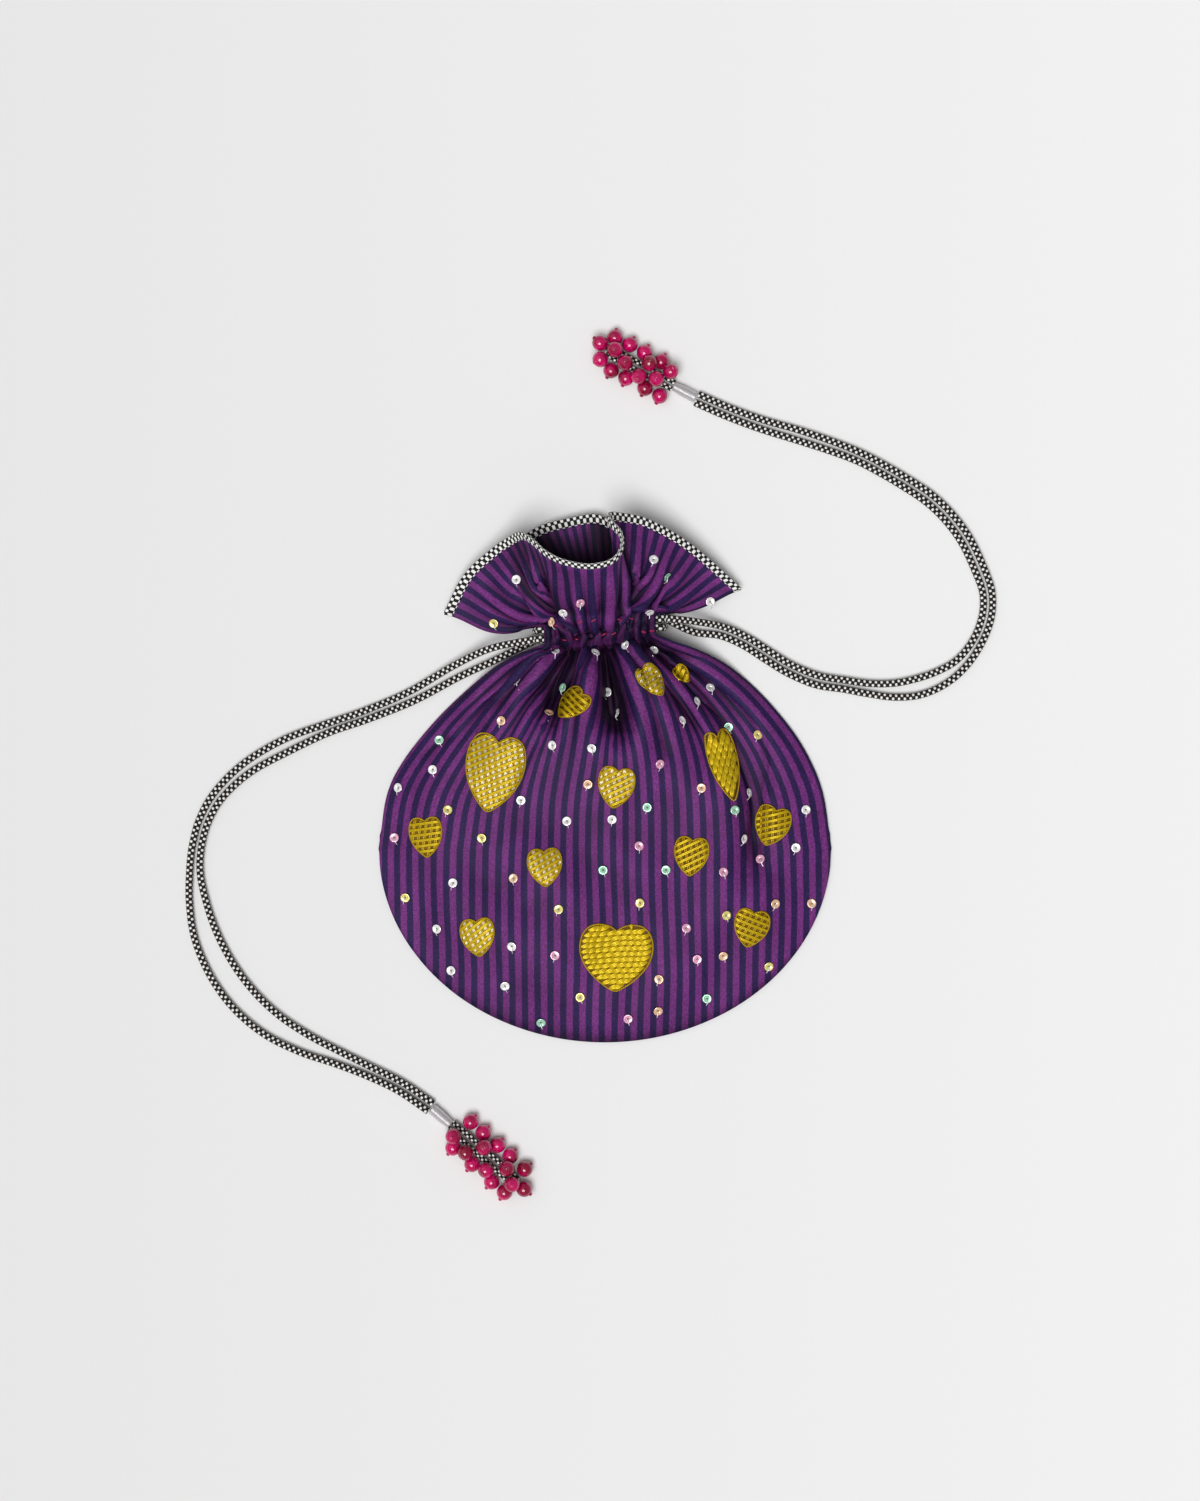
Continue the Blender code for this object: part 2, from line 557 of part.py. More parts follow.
def casing(name, z, facing, mat):
    """Inner strip of a cord tunnel: a U section with its flanges towards the panel."""
    wide = CORD_PITCH + CORD_DIAMETER + 2 * GAP
    half = wide / 2 + CASING_THICKNESS
    web = CASING_THICKNESS / 2
    flange = web + CASING_FLANGE
    outline = [(-half, -web), (half, -web), (half, flange), (half - CASING_THICKNESS, flange),
               (half - CASING_THICKNESS, web), (-half + CASING_THICKNESS, web),
               (-half + CASING_THICKNESS, flange), (-half, flange)]
    curve = bpy.data.curves.new(name, "CURVE")
    curve.dimensions = "2D"
    curve.fill_mode = "BOTH"
    curve.extrude = CASING_LENGTH / 2 * MM
    curve.render_resolution_u = 0
    spline = curve.splines.new("POLY")
    spline.points.add(len(outline) - 1)
    for spot, (across, height) in zip(spline.points, outline):
        spot.co = (across * MM, height * facing * MM, 0, 1)
    spline.use_cyclic_u = True
    piece = finish(name, curve, mat)
    lie_along_x = Matrix(((0, 0, 1), (1, 0, 0), (0, 1, 0))).to_4x4()
    lean = Matrix.Rotation(math.atan(NECK_SLOPE), 4, "Z")
    place = Vector((NECK_X, NECK_Y + BAND_WIDTH / 2 + NECK_ARCH / 2, z)) * MM
    piece.matrix_world = Matrix.Translation(place) @ lean @ lie_along_x
    return piece


def heart_outline(count):
    """Even points of a plump heart one unit wide and one unit high, from its notch round."""
    half = np.array(HEART_HALF)
    whole = np.vstack([half, half[-2::-1] * (-1, 1)])
    line = smooth_line(whole, count + 1)[:-1]
    return line[:, 0], line[:, 1]


def top_of(panel, x, y, reach):
    """Highest point of the panel close to a plan position in metres."""
    heights = []
    for dx, dy in ((0, 0), (reach, 0), (-reach, 0), (0, reach), (0, -reach)):
        hit, spot = panel.ray_cast(Vector((x + dx, y + dy, 0.2)), Vector((0, 0, -1)))[:2]
        if hit:
            heights.append(spot.z)
    return max(heights)


def heart(name, place, panel, mat):
    """A stitched patch: a heart laid on the panel below it, straight down."""
    x0, y0, width, height, turn = place
    px, py = heart_outline(16)
    lean = math.radians(turn)
    inner = (0.7, 0.38) if height > 25 else (0.52,)
    bm = bmesh.new()
    rings = []
    for scale in (1.0, *inner):
        ring = []
        for dx, dy in zip(px * width * scale, py * height * scale):
            plan = (x0 + dx * math.cos(lean) - dy * math.sin(lean),
                    y0 + dx * math.sin(lean) + dy * math.cos(lean))
            ring.append(bm.verts.new(Vector((*plan, 0)) * MM))
        rings.append([bm.edges.new((a, b)) for a, b in zip(ring, ring[1:] + ring[:1])])
    for outer, core in zip(rings, rings[1:]):
        bmesh.ops.bridge_loops(bm, edges=outer + core)
    cap = bmesh.ops.contextual_create(bm, geom=rings[-1])["faces"]
    bmesh.ops.poke(bm, faces=cap)
    bmesh.ops.triangulate(bm, faces=bm.faces[:])
    bmesh.ops.recalc_face_normals(bm, faces=bm.faces[:])
    if sum(face.normal.z for face in bm.faces) < 0:
        bmesh.ops.reverse_faces(bm, faces=bm.faces[:])
    for vert in bm.verts:
        top = top_of(panel, vert.co.x, vert.co.y, width * 0.07 * MM)
        vert.co.z = top + (HEART_GAP + HEART_THICKNESS) * MM
    lower = bmesh.ops.extrude_face_region(bm, geom=bm.faces[:])["geom"]
    moved = [item for item in lower if isinstance(item, bmesh.types.BMVert)]
    bmesh.ops.translate(bm, verts=moved, vec=(0, 0, -HEART_THICKNESS * MM))
    bmesh.ops.recalc_face_normals(bm, faces=bm.faces[:])
    mesh = bpy.data.meshes.new(name)
    bm.to_mesh(mesh)
    bm.free()
    return finish(name, mesh, mat)


for old in list(bpy.data.objects):
    bpy.data.objects.remove(old)
BAG = bpy.data.collections.new("potli_bag")
bpy.context.scene.collection.children.link(BAG)

satin = material("striped_satin", (0.13, 0.03, 0.15), 0.45)
lining = material("casing_cotton", (0.10, 0.03, 0.12), 0.8)
checked = material("checked_binding", (0.35, 0.35, 0.35), 0.8)
woven = material("woven_cord", (0.4, 0.4, 0.4), 0.75)
silver = material("silver_thread", (0.6, 0.6, 0.62), 0.4, 0.6)
gold = material("gold_thread", (0.55, 0.38, 0.02), 0.45, 0.4)
glass = material("magenta_bead", (0.6, 0.0, 0.16), 0.12)

front = sheet("front_panel", panel_grid(front_body, front_band, front_ruffle, FRONT_COLUMNS, FRONT_BODY_ROWS),
              0.0, CLOTH_THICKNESS, satin)
sheet("back_panel", panel_grid(back_body, back_band, back_ruffle, BACK_COLUMNS, BACK_BODY_ROWS),
      0.0, CLOTH_THICKNESS, satin)
BINDING_SIDE = (BINDING_THICKNESS - CLOTH_THICKNESS) / 2
sheet("front_binding", strip_grid(front_ruffle, FRONT_COLUMNS),
      BINDING_SIDE, CLOTH_THICKNESS + BINDING_SIDE, checked, 1)
sheet("back_binding", strip_grid(back_ruffle, BACK_COLUMNS),
      BINDING_SIDE, CLOTH_THICKNESS + BINDING_SIDE, checked, 1)
casing("front_casing", FRONT_WEB_Z, 1, lining)
casing("back_casing", BACK_WEB_Z, -1, lining)
drawstring("left_drawstring", LEFT_ROUTE, NECK_LEFT_X, NECK_RIGHT_X, -1, -1, woven)
drawstring("right_drawstring", RIGHT_ROUTE, NECK_RIGHT_X, NECK_LEFT_X, 1, 1, woven)
tassel("left", LEFT_ROUTE, LEFT_TASSEL_TURN, LEFT_LOOP_LENGTH, LEFT_BEADS, woven, silver, glass)
tassel("right", RIGHT_ROUTE, RIGHT_TASSEL_TURN, RIGHT_LOOP_LENGTH, RIGHT_BEADS, woven, silver,
       glass)
bpy.context.view_layer.update()
for number, place in enumerate(HEARTS):
    heart("heart_%02d" % (number + 1), place, front, gold)
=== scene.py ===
# %% [markdown]
# A potli bag is a round drawstring pouch. This one is striped satin with thirteen hearts in gold
# thread, loose sequins, a checked binding on its ruffled mouth, and two doubled cords that end in
# beads. It lies on its back, so the camera looks straight down on it. The cells build the scene,
# then each piece of the bag in the order in which a maker would sew it.

# %% The frame
import math

import bmesh
import bpy
import numpy as np
from mathutils import Matrix, Vector
from mathutils.bvhtree import BVHTree


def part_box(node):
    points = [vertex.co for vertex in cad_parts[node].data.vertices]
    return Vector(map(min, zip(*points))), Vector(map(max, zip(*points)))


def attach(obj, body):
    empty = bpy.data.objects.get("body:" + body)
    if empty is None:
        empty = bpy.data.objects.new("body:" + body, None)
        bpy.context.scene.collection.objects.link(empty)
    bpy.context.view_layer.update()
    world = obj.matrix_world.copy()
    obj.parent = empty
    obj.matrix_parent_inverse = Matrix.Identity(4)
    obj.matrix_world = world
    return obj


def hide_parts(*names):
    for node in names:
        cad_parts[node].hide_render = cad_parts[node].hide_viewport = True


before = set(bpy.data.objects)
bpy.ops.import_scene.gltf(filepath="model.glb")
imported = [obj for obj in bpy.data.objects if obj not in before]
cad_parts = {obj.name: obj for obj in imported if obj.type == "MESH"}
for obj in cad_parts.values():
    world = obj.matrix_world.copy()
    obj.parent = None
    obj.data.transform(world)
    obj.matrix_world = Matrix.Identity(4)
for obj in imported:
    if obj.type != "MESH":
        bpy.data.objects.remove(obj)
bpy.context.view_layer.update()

MM = 0.001

# %% [markdown]
# ## Camera, floor and light
# A photograph from straight above keeps the outline true. The lens is long, so that the raised
# mouth doesn't lean outwards. The frame is 1200 by 1501 pixels and shows 750 mm from top to bottom.
# The main light is high and a little to the hem's side, so ridges shine and folds fall dark.

# %% Camera
FRAME_HEIGHT = 750.5 * MM
FRAME_MIDDLE = (-2.5 * MM, 13.75 * MM)
CAMERA_HEIGHT = 2.2
SENSOR = 36.0

camera_data = bpy.data.cameras.new("camera")
camera_data.sensor_width = SENSOR
camera_data.lens = SENSOR * (CAMERA_HEIGHT - 0.012) / FRAME_HEIGHT
camera = bpy.data.objects.new("camera", camera_data)
camera.location = (*FRAME_MIDDLE, CAMERA_HEIGHT)
bpy.context.scene.collection.objects.link(camera)
bpy.context.scene.camera = camera
bpy.context.scene.view_settings.view_transform = "Standard"


# %% Colour and node helpers
def paint(code):
    """Linear colour of an sRGB hex code such as "7B3385"."""
    levels = [int(code[k:k + 2], 16) / 255 for k in (0, 2, 4)]
    linear = [c / 12.92 if c <= 0.04045 else ((c + 0.055) / 1.055) ** 2.4 for c in levels]
    return (*linear, 1.0)


def add(tree, kind, inputs=None, **settings):
    """A shader node with its settings; inputs maps a socket to a value or to another socket."""
    made = tree.nodes.new("ShaderNode" + kind)
    for name, value in settings.items():
        setattr(made, name, value)
    for socket, value in (inputs or {}).items():
        if isinstance(value, bpy.types.NodeSocket):
            tree.links.new(value, made.inputs[socket])
        else:
            made.inputs[socket].default_value = value
    return made


def new_material(name):
    """An empty Principled material: its node tree and its shader."""
    made = bpy.data.materials.new(name)
    made.use_nodes = True
    tree = made.node_tree
    return made, tree, tree.nodes["Principled BSDF"]


def plug(tree, shader, **links):
    """Sets or links a shader's sockets; an underscore stands for a space."""
    for name, value in links.items():
        socket = shader.inputs[name.replace("_", " ")]
        if isinstance(value, bpy.types.NodeSocket):
            tree.links.new(value, socket)
        else:
            socket.default_value = value


def blend(tree, share, dark, light, **settings):
    """Output of a colour mix between two sockets or colours."""
    made = add(tree, "Mix", {0: share, 6: dark, 7: light}, data_type="RGBA", **settings)
    return made.outputs[2]


def ranged(tree, value, *limits, **settings):
    """Output of a Map Range node: low and high before, then low and high after."""
    inputs = {0: value, **dict(enumerate(limits, 1))}
    return add(tree, "MapRange", inputs, **settings).outputs[0]


def math_node(tree, operation, *values):
    made = add(tree, "Math", dict(enumerate(values)), operation=operation)
    return made.outputs[0]


def noise(tree, vector, scale, detail, **more):
    """Output of a noise texture."""
    inputs = {"Vector": vector, "Scale": scale, "Detail": detail, **more}
    return add(tree, "TexNoise", inputs).outputs["Fac"]


def stretched(tree, vector, *scale):
    """A vector scaled on each axis."""
    return add(tree, "Mapping", {"Vector": vector, "Scale": scale}).outputs[0]


def place_mesh(name, mesh):
    """An object at the origin that shows the mesh."""
    piece = bpy.data.objects.new(name, mesh)
    bpy.context.scene.collection.objects.link(piece)
    return piece


def mesh_from(bm, name):
    """A new mesh with the content of a bmesh, which is freed."""
    mesh = bpy.data.meshes.new(name)
    bm.to_mesh(mesh)
    bm.free()
    return mesh


# %% Floor and light
def make_floor():
    """Matt paper sheet with painted light: its colour is a little lighter to the right, as in the
    photograph.
    """
    bm = bmesh.new()
    bmesh.ops.create_grid(bm, x_segments=1, y_segments=1, size=3.0)
    mesh = mesh_from(bm, "floor")
    floor = place_mesh("floor", mesh)
    made, tree, shader = new_material("matt_paper")
    place = add(tree, "TexCoord")
    split = add(tree, "SeparateXYZ", {0: place.outputs["Object"]})
    side = ranged(tree, split.outputs["X"], -0.30, 0.30)
    # Painted light: the paper's colour grows lighter towards the right.
    painted_light_ramp = blend(tree, side, paint("E2E2E2"), paint("ECECEC"))
    plug(tree, shader, Base_Color=painted_light_ramp, Roughness=0.9, Specular_IOR_Level=0.2)
    mesh.materials.append(made)


def sun_light(name, place, softness, strength):
    """Even light from one side of the sky; softness is the angle that it fills, in degrees."""
    data = bpy.data.lights.new(name, "SUN")
    data.angle = math.radians(softness)
    data.energy = strength
    light = place_mesh(name, data)
    light.location = place
    light.rotation_euler = Vector(place).to_track_quat("Z", "Y").to_euler()


make_floor()
sun_light("key", (-0.14, -0.32, 1.0), 34.0, 2.45)
sun_light("fill", (-0.8, 0.3, 1.2), 60.0, 0.30)
world = bpy.data.worlds.new("studio")
world.use_nodes = True
world.node_tree.nodes["Background"].inputs["Color"].default_value = paint("FFFFFF")
world.node_tree.nodes["Background"].inputs["Strength"].default_value = 0.24
bpy.context.scene.world = world

# %% [markdown]
# ## The cut of the cloth
# Front and back are the same cut: a rectangle as wide as the bag with a round hem below. Every
# point of the cloth has a place across, s, and a place along it. The functions here fold that flat
# cut into the bag: the cord pulls the top together, valleys swallow the spare cloth, and the
# stripes stay nearly full width on the ridges. The woven stripes follow s, as they do on a loom.
# The large folds are pressed in from a given list, so the finished sheets don't keep the cut's area
# exactly.

# %% Sizes of the bag in millimetres
PANEL_WIDTH = 227.0
HALF_WIDTH = PANEL_WIDTH / 2
HEM_DEPTH = 97.0
SHOULDER_HEIGHT = 105.0
WIDEST_Y = -35.5
CLOTH_THICKNESS = 0.8
GAP = 0.35
PILLOW_HEIGHT = 25.0
LOWER_HEIGHT = 14.0
HEM_ROUNDING = 70.0
EDGE_CALM = 30.0
FOLD_DEPTH = 10.0
NECK_LEFT_X = -30.0
NECK_RIGHT_X = 25.0
NECK_SLOPE = 0.10
NECK_ARCH = 1.6
NECK_PLEAT = 2.6
NECK_PLEATS = 11
TUNNEL_HOLE = 7.0
CASING_THICKNESS = 0.6
SEAM_RISE = 10.0
BINDING_WIDTH = 4.5
RUFFLE_LENGTH = 55.0
LEFT_WING_DROOP = 6.0
RIGHT_WING_DROOP = 3.0
CORD_DIAMETER = 3.8
LOOP_DIAMETER = 3.0
STRIPE_PERIOD = 6.4

NECK_X = (NECK_LEFT_X + NECK_RIGHT_X) / 2
NECK_Y = WIDEST_Y + SHOULDER_HEIGHT
BACK_CORD_Z = NECK_PLEAT + CLOTH_THICKNESS + GAP + CORD_DIAMETER / 2
BACK_WEB_Z = BACK_CORD_Z + CORD_DIAMETER / 2 + GAP + CASING_THICKNESS / 2
FRONT_WEB_Z = BACK_WEB_Z + TUNNEL_HOLE + CASING_THICKNESS
FRONT_CORD_Z = FRONT_WEB_Z + CASING_THICKNESS / 2 + GAP + CORD_DIAMETER / 2
FRONT_NECK_Z = FRONT_CORD_Z + CORD_DIAMETER / 2 + GAP
CORD_PITCH = CORD_DIAMETER + GAP
BAND_WIDTH = CORD_PITCH + CORD_DIAMETER + GAP
FLOOR_CORD_Z = CORD_DIAMETER / 2 + 0.05
BINDING_SHARE = 1 - BINDING_WIDTH / RUFFLE_LENGTH

LEFT_SHOULDER = [(-HALF_WIDTH, WIDEST_Y), (-107.5, -3.5), (-86.5, 26.5), (-55.5, 54.5),
                 (NECK_LEFT_X, NECK_Y + NECK_SLOPE * (NECK_LEFT_X - NECK_X))]
RIGHT_SHOULDER = [(HALF_WIDTH, WIDEST_Y), (108.0, -3.5), (91.5, 26.5), (62.0, 55.5),
                  (NECK_RIGHT_X, NECK_Y + NECK_SLOPE * (NECK_RIGHT_X - NECK_X))]

# Large folds of the front in plan, neck end first: points, depth, half width at both ends
FOLDS = [([(-2.0, 74), (1.0, 60), (4.5, 40), (7.0, 12)], 20.0, 8.0, 7.5),
         ([(-14.0, 73), (-17.5, 58), (-25.0, 42), (-29.0, 18)], 18.0, 7.4, 7.0),
         ([(13.0, 74), (24.0, 65), (39.0, 54), (57.0, 37), (76.0, 12), (84.0, -14)],
          15.0, 6.4, 9.0),
         ([(9.5, 67), (18.0, 46), (28.0, 20), (33.0, -4)], 5.5, 3.0, 7.0),
         ([(-23.0, 66), (-42.0, 49), (-62.0, 31), (-78.0, 6)], 5.5, 3.4, 8.0),
         ([(-80.0, 20), (-98.0, 6)], 2.6, 3.0, 4.0),
         ([(69.0, 12), (75.0, -14), (74.0, -56)], 8.0, 5.5, 8.5),
         ([(20.0, 66), (52.0, 60), (80.0, 40)], 4.0, 2.8, 6.0),
         ([(-4.5, 67), (-7.0, 56), (-8.5, 36), (-8.0, 14)], -4.5, 3.6, 6.0),
         ([(12.0, 62), (22.0, 38), (34.0, 12)], -2.6, 4.0, 8.0),
         ([(-32.0, 56), (-55.0, 36), (-70.0, 12)], -3.4, 6.0, 11.0),
         ([(40.0, 63), (62.0, 50), (84.0, 26)], -3.0, 5.0, 8.0),
         ([(50.0, 22), (60.0, -6), (58.0, -30)], -3.0, 8.0, 12.0),
         ([(-12.0, -20), (18.0, -32), (52.0, -58)], 1.6, 9.0, 12.0),
         ([(-70.0, -40), (-40.0, -62), (-10.0, -68)], 1.5, 10.0, 12.0)]

RUFFLE_FOLDS = [([(-19.0, 75), (-23.0, 88), (-31.0, 103)], 9.0, 3.6, 4.5),
                ([(8.5, 76), (12.5, 90), (19.0, 105)], 10.0, 3.6, 4.5),
                ([(20.0, 76), (38.0, 84), (54.0, 95)], 5.0, 3.0, 4.5),
                ([(-29.0, 74), (-47.0, 79), (-64.0, 88)], 5.0, 3.0, 4.5),
                ([(16.0, 76), (27.0, 92), (36.0, 108)], 4.0, 2.8, 4.5),
                ([(-24.0, 75), (-38.0, 88), (-50.0, 102)], 4.0, 2.8, 4.5)]

# Valleys: place at the neck, drift on the way down, depth share, half width, reach downwards
FRONT_VALLEYS = [(-99.0, 0.0, 0.5, 7.0, 0.50), (-64.0, -10.0, 0.8, 10.5, 0.42),
                 (-26.0, -34.0, 1.1, 12.0, 0.40), (3.0, 4.0, 1.3, 11.0, 0.62),
                 (38.0, 42.0, 1.1, 12.0, 0.80), (71.0, 22.0, 0.8, 10.0, 0.48),
                 (99.0, 0.0, 0.5, 7.0, 0.42)]
RUFFLE_VALLEYS = [(-98.0, 0.0, 0.6, 8.0, 0.4), (-70.0, 0.0, 0.9, 11.0, 0.4),
                  (-42.0, 0.0, 1.3, 13.0, 0.4), (27.0, 0.0, 1.4, 13.0, 0.4),
                  (60.0, 0.0, 1.0, 12.0, 0.4), (92.0, 0.0, 0.7, 9.0, 0.4)]
BACK_VALLEYS = [(-88.0, 0.0, 0.8, 9.0, 0.4), (-52.0, -12.0, 1.0, 9.0, 0.5),
                (-16.0, -6.0, 0.9, 9.0, 0.4), (20.0, 10.0, 1.0, 9.0, 0.5),
                (55.0, 12.0, 0.9, 9.0, 0.42), (90.0, 0.0, 0.7, 9.0, 0.4)]

FRONT_RIM = [(-81.0, 83.0, 3.6), (-71.0, 101.5, 8.0), (-57.5, 114.0, 13.0), (-47.5, 120.5, 20.0),
             (-41.5, 122.5, 29.0), (-35.5, 118.5, 37.0), (-29.0, 112.5, 43.0), (-20.0, 108.0, 47.5),
             (-8.0, 105.8, 49.5), (2.5, 108.0, 49.0), (7.5, 114.0, 46.5), (7.5, 122.0, 42.0),
             (2.5, 128.5, 36.5), (2.0, 132.0, 30.5), (9.0, 131.8, 25.0), (19.0, 130.0, 21.0),
             (31.0, 124.5, 17.5), (43.0, 117.0, 14.0), (55.5, 107.0, 9.5), (68.5, 95.5, 4.6)]
BACK_RIM = [(-81.0, 82.0, 1.1), (-67.0, 99.0, 1.2), (-53.0, 111.0, 2.0), (-44.0, 119.5, 3.6),
            (-33.0, 126.5, 5.6), (-18.0, 130.5, 6.4), (-4.0, 132.3, 6.4), (7.0, 126.0, 4.6),
            (20.0, 121.0, 3.4), (34.0, 116.5, 2.4), (50.0, 105.5, 1.4), (68.5, 94.5, 1.1)]


# %% Lines and easing
def smooth_line(points, count=0, step=0.0):
    """Points at even distances along a Catmull-Rom curve through given points."""
    pts = np.array(points, float)
    ends = np.vstack([2 * pts[0] - pts[1], pts, 2 * pts[-1] - pts[-2]])
    u = np.linspace(0, 1, 24, endpoint=False)[:, None]
    runs = []
    for a, b, c, d in zip(ends, ends[1:], ends[2:], ends[3:]):
        runs.append(0.5 * (2 * b + (c - a) * u + (2 * a - 5 * b + 4 * c - d) * u ** 2
                           + (3 * b - a - 3 * c + d) * u ** 3))
    line = np.vstack(runs + [pts[-1:]])
    along = distances(line)
    total = count or max(2, int(round(along[-1] / step)) + 1)
    where = np.linspace(0, along[-1], total)
    return np.stack([np.interp(where, along, line[:, k]) for k in range(line.shape[1])], axis=1)


def read_line(line, share):
    """Points of an even line at shares 0 to 1 of its length."""
    index = np.clip(share, 0, 1) * (len(line) - 1)
    return np.stack([np.interp(index, np.arange(len(line)), line[:, k])
                     for k in range(line.shape[1])], axis=-1)


def distances(line):
    """Distance along a line at each of its points."""
    return np.concatenate([[0], np.cumsum(np.linalg.norm(np.diff(line, axis=0), axis=1))])


def ways(line):
    """Unit direction at each point of a line, and the two directions square to it."""
    ahead = np.gradient(line, axis=0)
    ahead /= np.linalg.norm(ahead, axis=1, keepdims=True)
    side = np.cross(ahead, [0.0, 0.0, 1.0])
    side /= np.linalg.norm(side, axis=1, keepdims=True) + 1e-9
    return side, np.cross(side, ahead)


def ease(low, high, value):
    """0 below low and 1 above high, with a smooth step between."""
    t = np.clip((value - low) / (high - low), 0, 1)
    return t * t * (3 - 2 * t)


LEFT_EDGE = smooth_line(LEFT_SHOULDER, 200)
RIGHT_EDGE = smooth_line(RIGHT_SHOULDER, 200)
FRONT_RIM_LINE = smooth_line(FRONT_RIM, 600)
BACK_RIM_LINE = smooth_line(BACK_RIM, 600)
CLOTH = np.linspace(-HALF_WIDTH, HALF_WIDTH, 721)
SHARES = np.linspace(0, 1, 81)


# %% Gathering
def gather_table(valleys):
    """For each row, how far across it each cloth point lies once the cord is pulled."""
    table = []
    for share in SHARES:
        width = read_line(RIGHT_EDGE, share)[0] - read_line(LEFT_EDGE, share)[0]
        ratio = min(1.0, width / PANEL_WIDTH)
        up = 1 - share
        pull = 0.08 + sum(depth * np.exp(-np.abs((CLOTH - place - drift * up) / half) ** 1.7)
                          for place, drift, depth, half, _ in valleys)
        low, high = 0.0, 400.0
        for _ in range(40):
            middle = (low + high) / 2
            if np.mean(1 / (1 + middle * pull)) > ratio:
                low = middle
            else:
                high = middle
        spread = np.concatenate([[0], np.cumsum(1 / (1 + low * pull[1:]))])
        table.append(spread / spread[-1])
    return np.array(table)


def between_cells(table, row, column):
    """Value of a table at a row and column that lie between its cells."""
    r = np.clip(row.astype(int), 0, table.shape[0] - 2)
    c = np.clip(column.astype(int), 0, table.shape[1] - 2)
    fr, fc = row - r, column - c
    near = table[r, c] * (1 - fc) + table[r, c + 1] * fc
    far = table[r + 1, c] * (1 - fc) + table[r + 1, c + 1] * fc
    return near * (1 - fr) + far * fr


def gathered(table, s, share):
    """How far across its row each cloth point lies, 0 to 1."""
    column = (s + HALF_WIDTH) / PANEL_WIDTH * (len(CLOTH) - 1)
    return between_cells(table, np.clip(share, 0, 1) * (len(SHARES) - 1), column)


RUFFLE_TABLE = gather_table(RUFFLE_VALLEYS)
FRONT_TABLE = gather_table(FRONT_VALLEYS)
BACK_TABLE = gather_table(BACK_VALLEYS)
# What band() and ruffle() need: table, rim, height at the neck, and bulge of the ruffle
FRONT_SIDE = (FRONT_TABLE, FRONT_RIM_LINE, FRONT_NECK_Z, 2.0)
BACK_SIDE = (BACK_TABLE, BACK_RIM_LINE, 0.0, 0.0)


def hem_y(s):
    return WIDEST_Y - HEM_DEPTH * np.sqrt(np.maximum(0, 1 - (s / HALF_WIDTH) ** 2))


def row_place(across, share):
    """Plan position on the row at this share of the way up, 0 to 1 across it."""
    left, right = read_line(LEFT_EDGE, share), read_line(RIGHT_EDGE, share)
    x = left[..., 0] + (right[..., 0] - left[..., 0]) * across
    straight = left[..., 1] + (right[..., 1] - left[..., 1]) * across
    middle = WIDEST_Y + (NECK_Y + NECK_ARCH - WIDEST_Y) * share
    arch = middle - (left[..., 1] + right[..., 1]) / 2
    return x, straight + arch * (1 - np.abs(2 * across - 1) ** 1.9)


def pleat_wave(across):
    return 0.5 + 0.5 * np.cos(2 * math.pi * NECK_PLEATS * across)


def valley_depth(s, share, valleys):
    total = np.zeros_like(s)
    for place, drift, depth, half, reach in valleys:
        start = 1 - reach
        along = ease(start, start + 0.6 * reach, share)
        wide = half * (1.6 - 0.6 * share)
        total += depth * along * np.exp(-np.abs((s - place - drift * (1 - share)) / wide) ** 1.7)
    return total


# %% Body of the bag
def seam_height(share):
    return SEAM_RISE * ease(0.62, 0.93, share)


def pillow(s, y_cloth, share):
    """How far the front panel stands over its seam."""
    up_hem = np.clip((y_cloth - hem_y(s)) / HEM_ROUNDING, 0, 1)
    rise = (1 - (1 - up_hem) ** 2.2) ** 0.95
    side = np.clip(1 - np.abs(s) / HALF_WIDTH, 0, 1)
    round_side = (1 - (1 - side) ** 2.6) ** 0.9
    crown = LOWER_HEIGHT + (PILLOW_HEIGHT - LOWER_HEIGHT) * ease(0.05, 0.75, share)
    return crown * rise * round_side


def small_wrinkles(s, y):
    """Fine creases of soft satin, a fraction of a millimetre high."""
    drawn = 0.30 * np.sin(s / 5.3 + 0.9 * np.sin(y / 17.0)) * np.sin(y / 26.0 + 1.3)
    drawn += 0.22 * np.sin(s / 3.1 - y / 19.0 + 1.4 * np.sin(y / 31.0))
    drawn += 0.25 * np.sin(y / 7.9 + s / 14.0 + 1.1 * np.sin(s / 21.0)) * np.sin(s / 33.0 + 0.4)
    bent = s / 9.5 + y / 14.0 + 1.8 * np.sin(y / 37.0 + 0.5)
    drawn += 1.1 * np.sin(bent) * np.sin(y / 21.0 - s / 40.0)
    by_hem = np.exp(-((y + 98.0) / 26.0) ** 2)
    drawn += 0.6 * np.sin(s / 6.8 - y / 15.0 + 1.5 * np.sin(s / 26.0)) * by_hem
    return drawn


def large_folds(x, y, folds=FOLDS):
    """Depth of the large folds at each plan position: the nearest spot on each fold counts."""
    total = np.zeros_like(x)
    for points, depth, first, last in folds:
        line = smooth_line(points, 40)
        apart = np.hypot(x[..., None] - line[:, 0], y[..., None] - line[:, 1])
        nearest = np.argmin(apart, axis=-1)
        share = nearest / 39
        half = first + (last - first) * share
        total += depth * (1 - ease(0.55, 1.0, share)) * np.exp(-(apart.min(axis=-1) / half) ** 2)
    return total


def on_body(s, y_cloth, table):
    """Share of the way up and plan position: flat cloth below the widest row, gathered above."""
    share = np.clip((y_cloth - WIDEST_Y) / SHOULDER_HEIGHT, 0, 1)
    x, y = row_place(gathered(table, s, share), share)
    below = y_cloth < WIDEST_Y
    return share, np.where(below, s, x), np.where(below, y_cloth, y)


